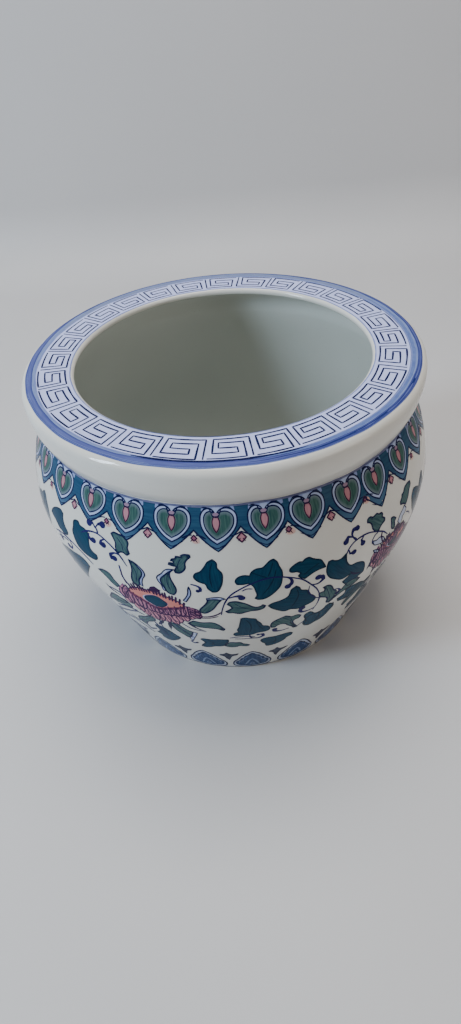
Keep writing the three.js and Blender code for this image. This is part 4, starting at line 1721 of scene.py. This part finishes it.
# Repeats of the scroll: five units go round the bowl, each a little different, as a painter repeats them.
# Marks that the painter drew another way on the right and on the left of the front come on top.
right_marks = {
    "teal": [
        [
            (19.5, 74.2), (18.6, 88.4), (20.2, 93.8), (22.5, 91.6), (25.2, 96.4), (27.4, 98.8),
            (27.5, 86.6), (25.5, 78.6), (23, 75.6), (21, 72.6),
        ],
        [
            (55, 165.4), (56.2, 168.4), (58.4, 165.6), (61, 160), (63.5, 152), (65, 144.2), (63.3, 137.8),
            (60.6, 136.4), (57.4, 145), (55.6, 155),
        ],
    ],
    "green": [
        [
            (34.5, 175.6), (34.7, 178), (35.6, 178.8), (36.6, 177.2), (38.1, 178), (38.8, 176.4),
            (39.7, 176.2), (40.2, 174.2), (39.9, 172.4), (40.9, 169.6), (40.8, 167.6), (39.7, 166.4),
            (38.9, 164.6), (38.4, 162.2), (37.1, 164.4), (36.2, 168.2), (35.9, 172.2), (35.3, 174.4),
        ],
        [
            (54, 178.8), (54.2, 175.8), (53.2, 173), (52.4, 168), (51, 163.6), (49.6, 167), (48.2, 168.6),
            (48.1, 171.4), (48.9, 173.2), (49, 175.6), (50, 176.2), (50.6, 178.4), (52.1, 179.4),
        ],
        [
            (43.6, 165), (44.5, 164.4), (46, 160.8), (45.4, 158.4), (45.7, 154.4), (45.4, 151.4),
            (44.1, 154.6), (43.8, 159.4),
        ],
    ],
    "edges": [
        [
            (50.2, 164.4), (49.2, 161.8), (48.3, 160.4), (47.6, 157.8), (47.1, 154.8), (48.6, 149.6),
            (49.4, 151.6), (49.5, 155.6), (50.9, 156.8), (51.4, 159.8),
        ],
        [
            (36.3, 156.6), (37.8, 154.6), (38.9, 155.2), (39.8, 154.4), (41, 151.4), (41.3, 148.2),
            (39.9, 147.6), (38.8, 148.8), (37, 151.6),
        ],
        [(37.1, 145.6), (39.1, 142.6), (39.9, 138.6), (37.9, 141.8)],
    ],
    "slivers": [
        [(36.5, 124), (36.6, 128.6), (37.2, 134.6), (39.3, 137.4), (38.2, 132), (37.4, 127)],
        [(40.5, 108.4), (40, 115), (40.4, 122.8), (42.3, 128.2), (41.6, 120), (41.3, 113)],
        [(45, 108), (45, 113), (45.4, 119), (46.2, 117), (45.8, 112)],
    ],
    "vines": [
        (
            [
                (27.6, 158.6), (28.1, 161.8), (29.3, 165.2), (30.9, 166.9), (32.9, 167.4), (34.9, 166.6),
                (37.6, 163.2), (40.3, 158.6), (42.4, 152.2),
            ],
            1.25,
        ),
        ([(38.3, 161.6), (37.1, 160.8), (36.2, 157.4), (36.3, 153.6)], 1.1),
        ([(54.8, 146.8), (53.8, 151), (51.8, 155)], 1.0),
        ([(30.7, 167), (29.7, 170.4)], 1.9),
    ],
    "curls": [
        ([(29.7, 170.2), (29.4, 173.4), (29.9, 176.4), (31.2, 176.2)], 2.1),
        ([(29.8, 170.6), (28.2, 172.8), (27.4, 169.4)], 2.2),
        ([(33.1, 166.8), (32.3, 164.6), (32.8, 160.8)], 2.2),
        ([(28.2, 161.6), (28.6, 157.6), (29.9, 157)], 2.2),
    ],
}
left_marks = {
    "teal": [
        [
            (-58.9, 169.8), (-58.2, 173), (-57, 176.4), (-55.9, 178.4), (-54.6, 180), (-52.8, 180.8),
            (-51.8, 179.4), (-52, 175.2), (-51.7, 171), (-51, 168), (-50.3, 166), (-50.5, 163),
            (-51.6, 161), (-52.9, 160.2), (-53.9, 161.6), (-55, 162), (-55.7, 164.2), (-56.7, 166.6),
            (-57.9, 168),
        ],
        [
            (-60.5, 133), (-57, 139), (-53, 143.6), (-50, 145.6), (-46.6, 147.2), (-44.8, 145.6),
            (-43.8, 141.6), (-45.2, 135.6), (-46.8, 129), (-48.5, 122), (-51.1, 111.6), (-55, 103.8),
            (-57.6, 106), (-58.7, 113.6), (-60.4, 122.2),
        ],
    ],
    "green": [
        [
            (-41.6, 106.8), (-40.4, 112.6), (-38.6, 115.6), (-37, 114.6), (-35.2, 113.6), (-33.8, 108.4),
            (-34.2, 103.2), (-37.3, 100.4), (-41.2, 98.2), (-43, 99.4),
        ],
    ],
    "vines": [
        (
            [
                (-58.4, 153.6), (-55.4, 157.4), (-52.2, 158.8), (-48.9, 157.8), (-46.1, 155.4),
                (-43.3, 151.6), (-41.4, 147.8),
            ],
            1.4,
        ),
        ([(-57.2, 150.6), (-53.8, 154.8), (-50.8, 156.2)], 1.1),
        ([(-57, 121), (-60, 108), (-64, 96)], 1.0),
        ([(-53.1, 58), (-46, 74), (-40.1, 86), (-33.4, 97.8)], 2.0),
        ([(-43.3, 84), (-47.6, 66), (-50.9, 48)], 2.2),
        ([(-49.9, 42.8), (-44.3, 45.2), (-38.6, 50.4)], 2.0),
        ([(-38, 98.8), (-35.4, 100.4), (-32.6, 101.4)], 1.0),
        ([(-38.6, 126.4), (-35.2, 124.8), (-34.2, 118.2)], 1.6),
        ([(-43, 89.4), (-35.4, 100), (-30.9, 96)], 1.9),
        ([(-40.2, 76.2), (-37.7, 72.6), (-33.7, 80.2)], 2.0),
        ([(-34.7, 71.2), (-34.3, 62.2), (-31, 69)], 1.9),
        ([(-53.3, 58), (-40.2, 69.8), (-37.2, 62.4), (-34.5, 53.2)], 2.2),
        ([(-28.7, 87.2), (-28.3, 74), (-28.2, 57)], 1.7),
        ([(-45.9, 47.8), (-41.5, 47.2), (-43, 30)], 2.0),
    ],
    "curls": [
        ([(-50.2, 157.2), (-49.6, 153), (-50.4, 149.2), (-51.6, 149.8)], 2.2),
        ([(-56.6, 156.2), (-54.6, 153.6), (-55.1, 150.8)], 1.9),
    ],
}


def nothing(angle, height):
    return False


def upper_blossom_leaves(angle, height):
    return angle < bloom_side and height > 135.0


def far_field_leaves(angle, height):
    return angle > 7.5 and height > 84.0


# Each unit: turn, rise of its leaves, rise and share of size of its blossom, whether the leaf on the
# left is lobed, how loosely it repeats the first unit, and what it leaves out. The lobed leaf was set out
# to the left of the second unit.
lobed_from = 69.5
scroll_units = [
    (0.0, 0.0, 0.0, 1.0, False, 0.0, nothing),
    (lobed_from, -8.0, 8.0, 0.8, True, 0.35, upper_blossom_leaves),
    (143.0, 3.0, 2.0, 1.0, False, 0.5, nothing),
    (215.0, -3.0, 0.0, 1.0, True, 0.5, nothing),
    (288.0, 5.0, 4.0, 0.95, False, 0.35, far_field_leaves),
]
for shift, raise_field, raise_bloom, narrow, lobed, looseness, leaves_out in scroll_units:
    paint_scroll(shift, raise_field, raise_bloom, lobed, looseness, leaves_out)
    paint_bloom(shift, raise_bloom, narrow)
paint_marks(**right_marks)
paint_marks(**left_marks)
rose_tints = ((186, 122, 142), (126, 74, 116), (208, 150, 160))
plum_tints = ((166, 108, 136), (92, 54, 100), (194, 134, 152))
fire_coats(
    ("scroll_teal_leaves", teal_paint, "leaf_teal", (18, 55, 80), (12, 34, 60), (31, 76, 98), 1.2, 0.6),
    ("scroll_green_leaves", green_paint, "leaf_green", (48, 78, 86), (28, 46, 66), (84, 112, 112), 1.2, 0.9),
    ("scroll_turned_edges", pale_paint, "edge_pale", (182, 192, 218), (150, 162, 200), (198, 204, 220), 0.6),
    ("scroll_slivers", sliver_paint, "sliver_indigo", (38, 40, 74), (28, 28, 66), (60, 68, 94), 0.8),
    ("scroll_vines", vine_paint, "vine_blue", (29, 26, 82), (26, 22, 76), (46, 45, 108), 0.4, 0.6),
    ("scroll_outlines", outline_paint, line_blue),
    ("scroll_veins", vein_paint, "vein_teal", (12, 36, 58), (11, 32, 54), (24, 54, 76), 0.2, 0.5),
    ("bloom_outer_petals", outer_rows, "petal_rose", *rose_tints, 1.2, 0.8),
    ("bloom_inner_petals", inner_rows, "petal_plum", *plum_tints, 1.5, 0.8),
    ("bloom_discs", disc_paint, "disc_salmon", (206, 124, 116), (172, 92, 106), (216, 146, 136), 1.4, 0.6),
    ("bloom_shades", shade_paint, "shade_plum", (96, 44, 80), (70, 30, 72), (130, 66, 98), 0.8, 0.8),
    ("bloom_lines", petal_lines, "line_plum", (48, 24, 66), (40, 20, 62), (78, 44, 84), 0.3, 0.6),
)

# Foot band: blue lappets that stand on the foot all round, each with pale arches in it, and a small
# three-pointed flower between each pair. A dark line low on the foot closes the band below; it is partly
# a fine painted line and partly painted shade where the foot meets the board.
foot_lappets = 19
foot_pitch = 360.0 / foot_lappets
first_foot_lappet = 2.0
lappet_height = 42.0
foot_lappet_half = [
    (0.0, 40.8), (1.2, 38.6), (2.8, 34.6), (4.5, 28.6), (5.9, 22.4), (7.5, 16.0), (8.0, 11.0), (7.5, 6.2),
    (5.6, 3.4),
]
foot_body_half = [
    (0.0, 37.6), (0.9, 35.6), (1.7, 32.4), (2.9, 30.4), (3.4, 26.6), (4.7, 24.2), (5.1, 20.2), (6.5, 17.6),
    (7.0, 12.4), (6.3, 7.6), (4.6, 5.4),
]
foot_flower = [
    (-0.3, 39.6), (0.9, 36.4), (2.0, 35.8), (4.2, 37.2), (3.4, 33.6), (1.8, 31.2), (0.9, 26.6), (0.1, 20.6),
    (-0.8, 24.6), (-1.4, 29.6), (-3.3, 33.2), (-3.0, 34.8), (-1.4, 36.0),
]
flower_middle = 31.0
arch_half = [(-3.1, 7.2), (-2.2, 11.6), (-1.3, 17.0), (0.0, 21.5)]
under_arch_half = [(-1.5, 6.2), (-0.9, 10.4), (0.0, 14.0)]
scallops = [(5.6, 12.0), (5.2, 16.4), (3.9, 18.6), (3.6, 22.8), (2.3, 25.6), (1.6, 29.4)]
shaded_line_height = 2.4


def grown(half, rise):
    """A half lappet that starts at its tip, with its height grown, and carried on up the other side."""
    half = [(a, h + rise * h / lappet_height) for a, h in half]
    return half + [(-a, h) for a, h in reversed(half[1:])]


foot_wash, foot_pale, foot_blue, foot_dots = (new_coat(bowl_point) for _ in range(4))
foot_lines, foot_flowers, foot_line_and_shade = (new_coat(bowl_point) for _ in range(3))
# A dark blue-grey line round the foot: partly the fine line that closes the band, partly painted shade where
# the foot stands on the board.
coat_circle(foot_line_and_shade, [(a, shaded_line_height + 0.3 * collar_wander(a)) for a in ring_angles[::2]], 1.3)
for i in range(foot_lappets):
    centre = first_foot_lappet + foot_pitch * i + brush.uniform(-0.4, 0.4)
    rise = brush.uniform(-0.8, 0.8)
    border = at(centre, grown(foot_lappet_half, rise))
    coat_patch(foot_wash, border, wash_lift, lean=90.0)
    coat_patch(foot_blue, at(centre, grown(foot_body_half, rise)), body_lift, lean=90.0)
    coat_stroke(foot_lines, border, 1.3, closed=True)
    for way in (-1, 1):
        coat_stroke(foot_pale, at(centre, scallops, way=way), 0.8, lift=body_lift + 0.03, ends=(0.4, 0.2))
    coat_stroke(foot_pale, at(centre, both_sides(arch_half)), 1.5, lift=body_lift + 0.03, ends=(0.5, 0.5))
    coat_patch(foot_pale, at(centre, both_sides(under_arch_half)), body_lift + 0.03, 2.0)
    coat_patch(foot_dots, oval(centre, 9.2, 0.5, 1.1, 7), body_lift + 0.06, 2.0)
    middle = centre + foot_pitch / 2 + brush.uniform(-0.4, 0.4)
    size = brush.uniform(0.92, 1.08)
    flower = [(middle + a * size, flower_middle + (h - flower_middle) * size) for a, h in foot_flower]
    coat_patch(foot_flowers, flower, body_lift, 2.2)
    coat_stroke(foot_lines, flower, 0.6, closed=True)
fire_coats(
    ("foot_wash", foot_wash, "foot_tint", (172, 181, 199), (140, 154, 182), (188, 195, 208), 1.2),
    ("foot_lappets", foot_blue, "lappet_blue", (22, 48, 92), (15, 32, 72), (48, 80, 124), 1.8, 0.9),
    ("foot_arches", foot_pale, "arch_pale", (108, 128, 164), (72, 92, 134), (142, 158, 184), 0.7),
    ("foot_dots", foot_dots, line_blue),
    ("foot_line_and_painted_shade", foot_line_and_shade, "line_blue_and_shade", (74, 92, 118), (56, 74, 102), (104, 122, 146), 0.3, 0.9),
    ("foot_band_lines", foot_lines, line_blue),
    ("foot_flowers", foot_flowers, "flower_green", (44, 48, 72), (38, 28, 56), (64, 76, 88), 1.2, 0.6),
)
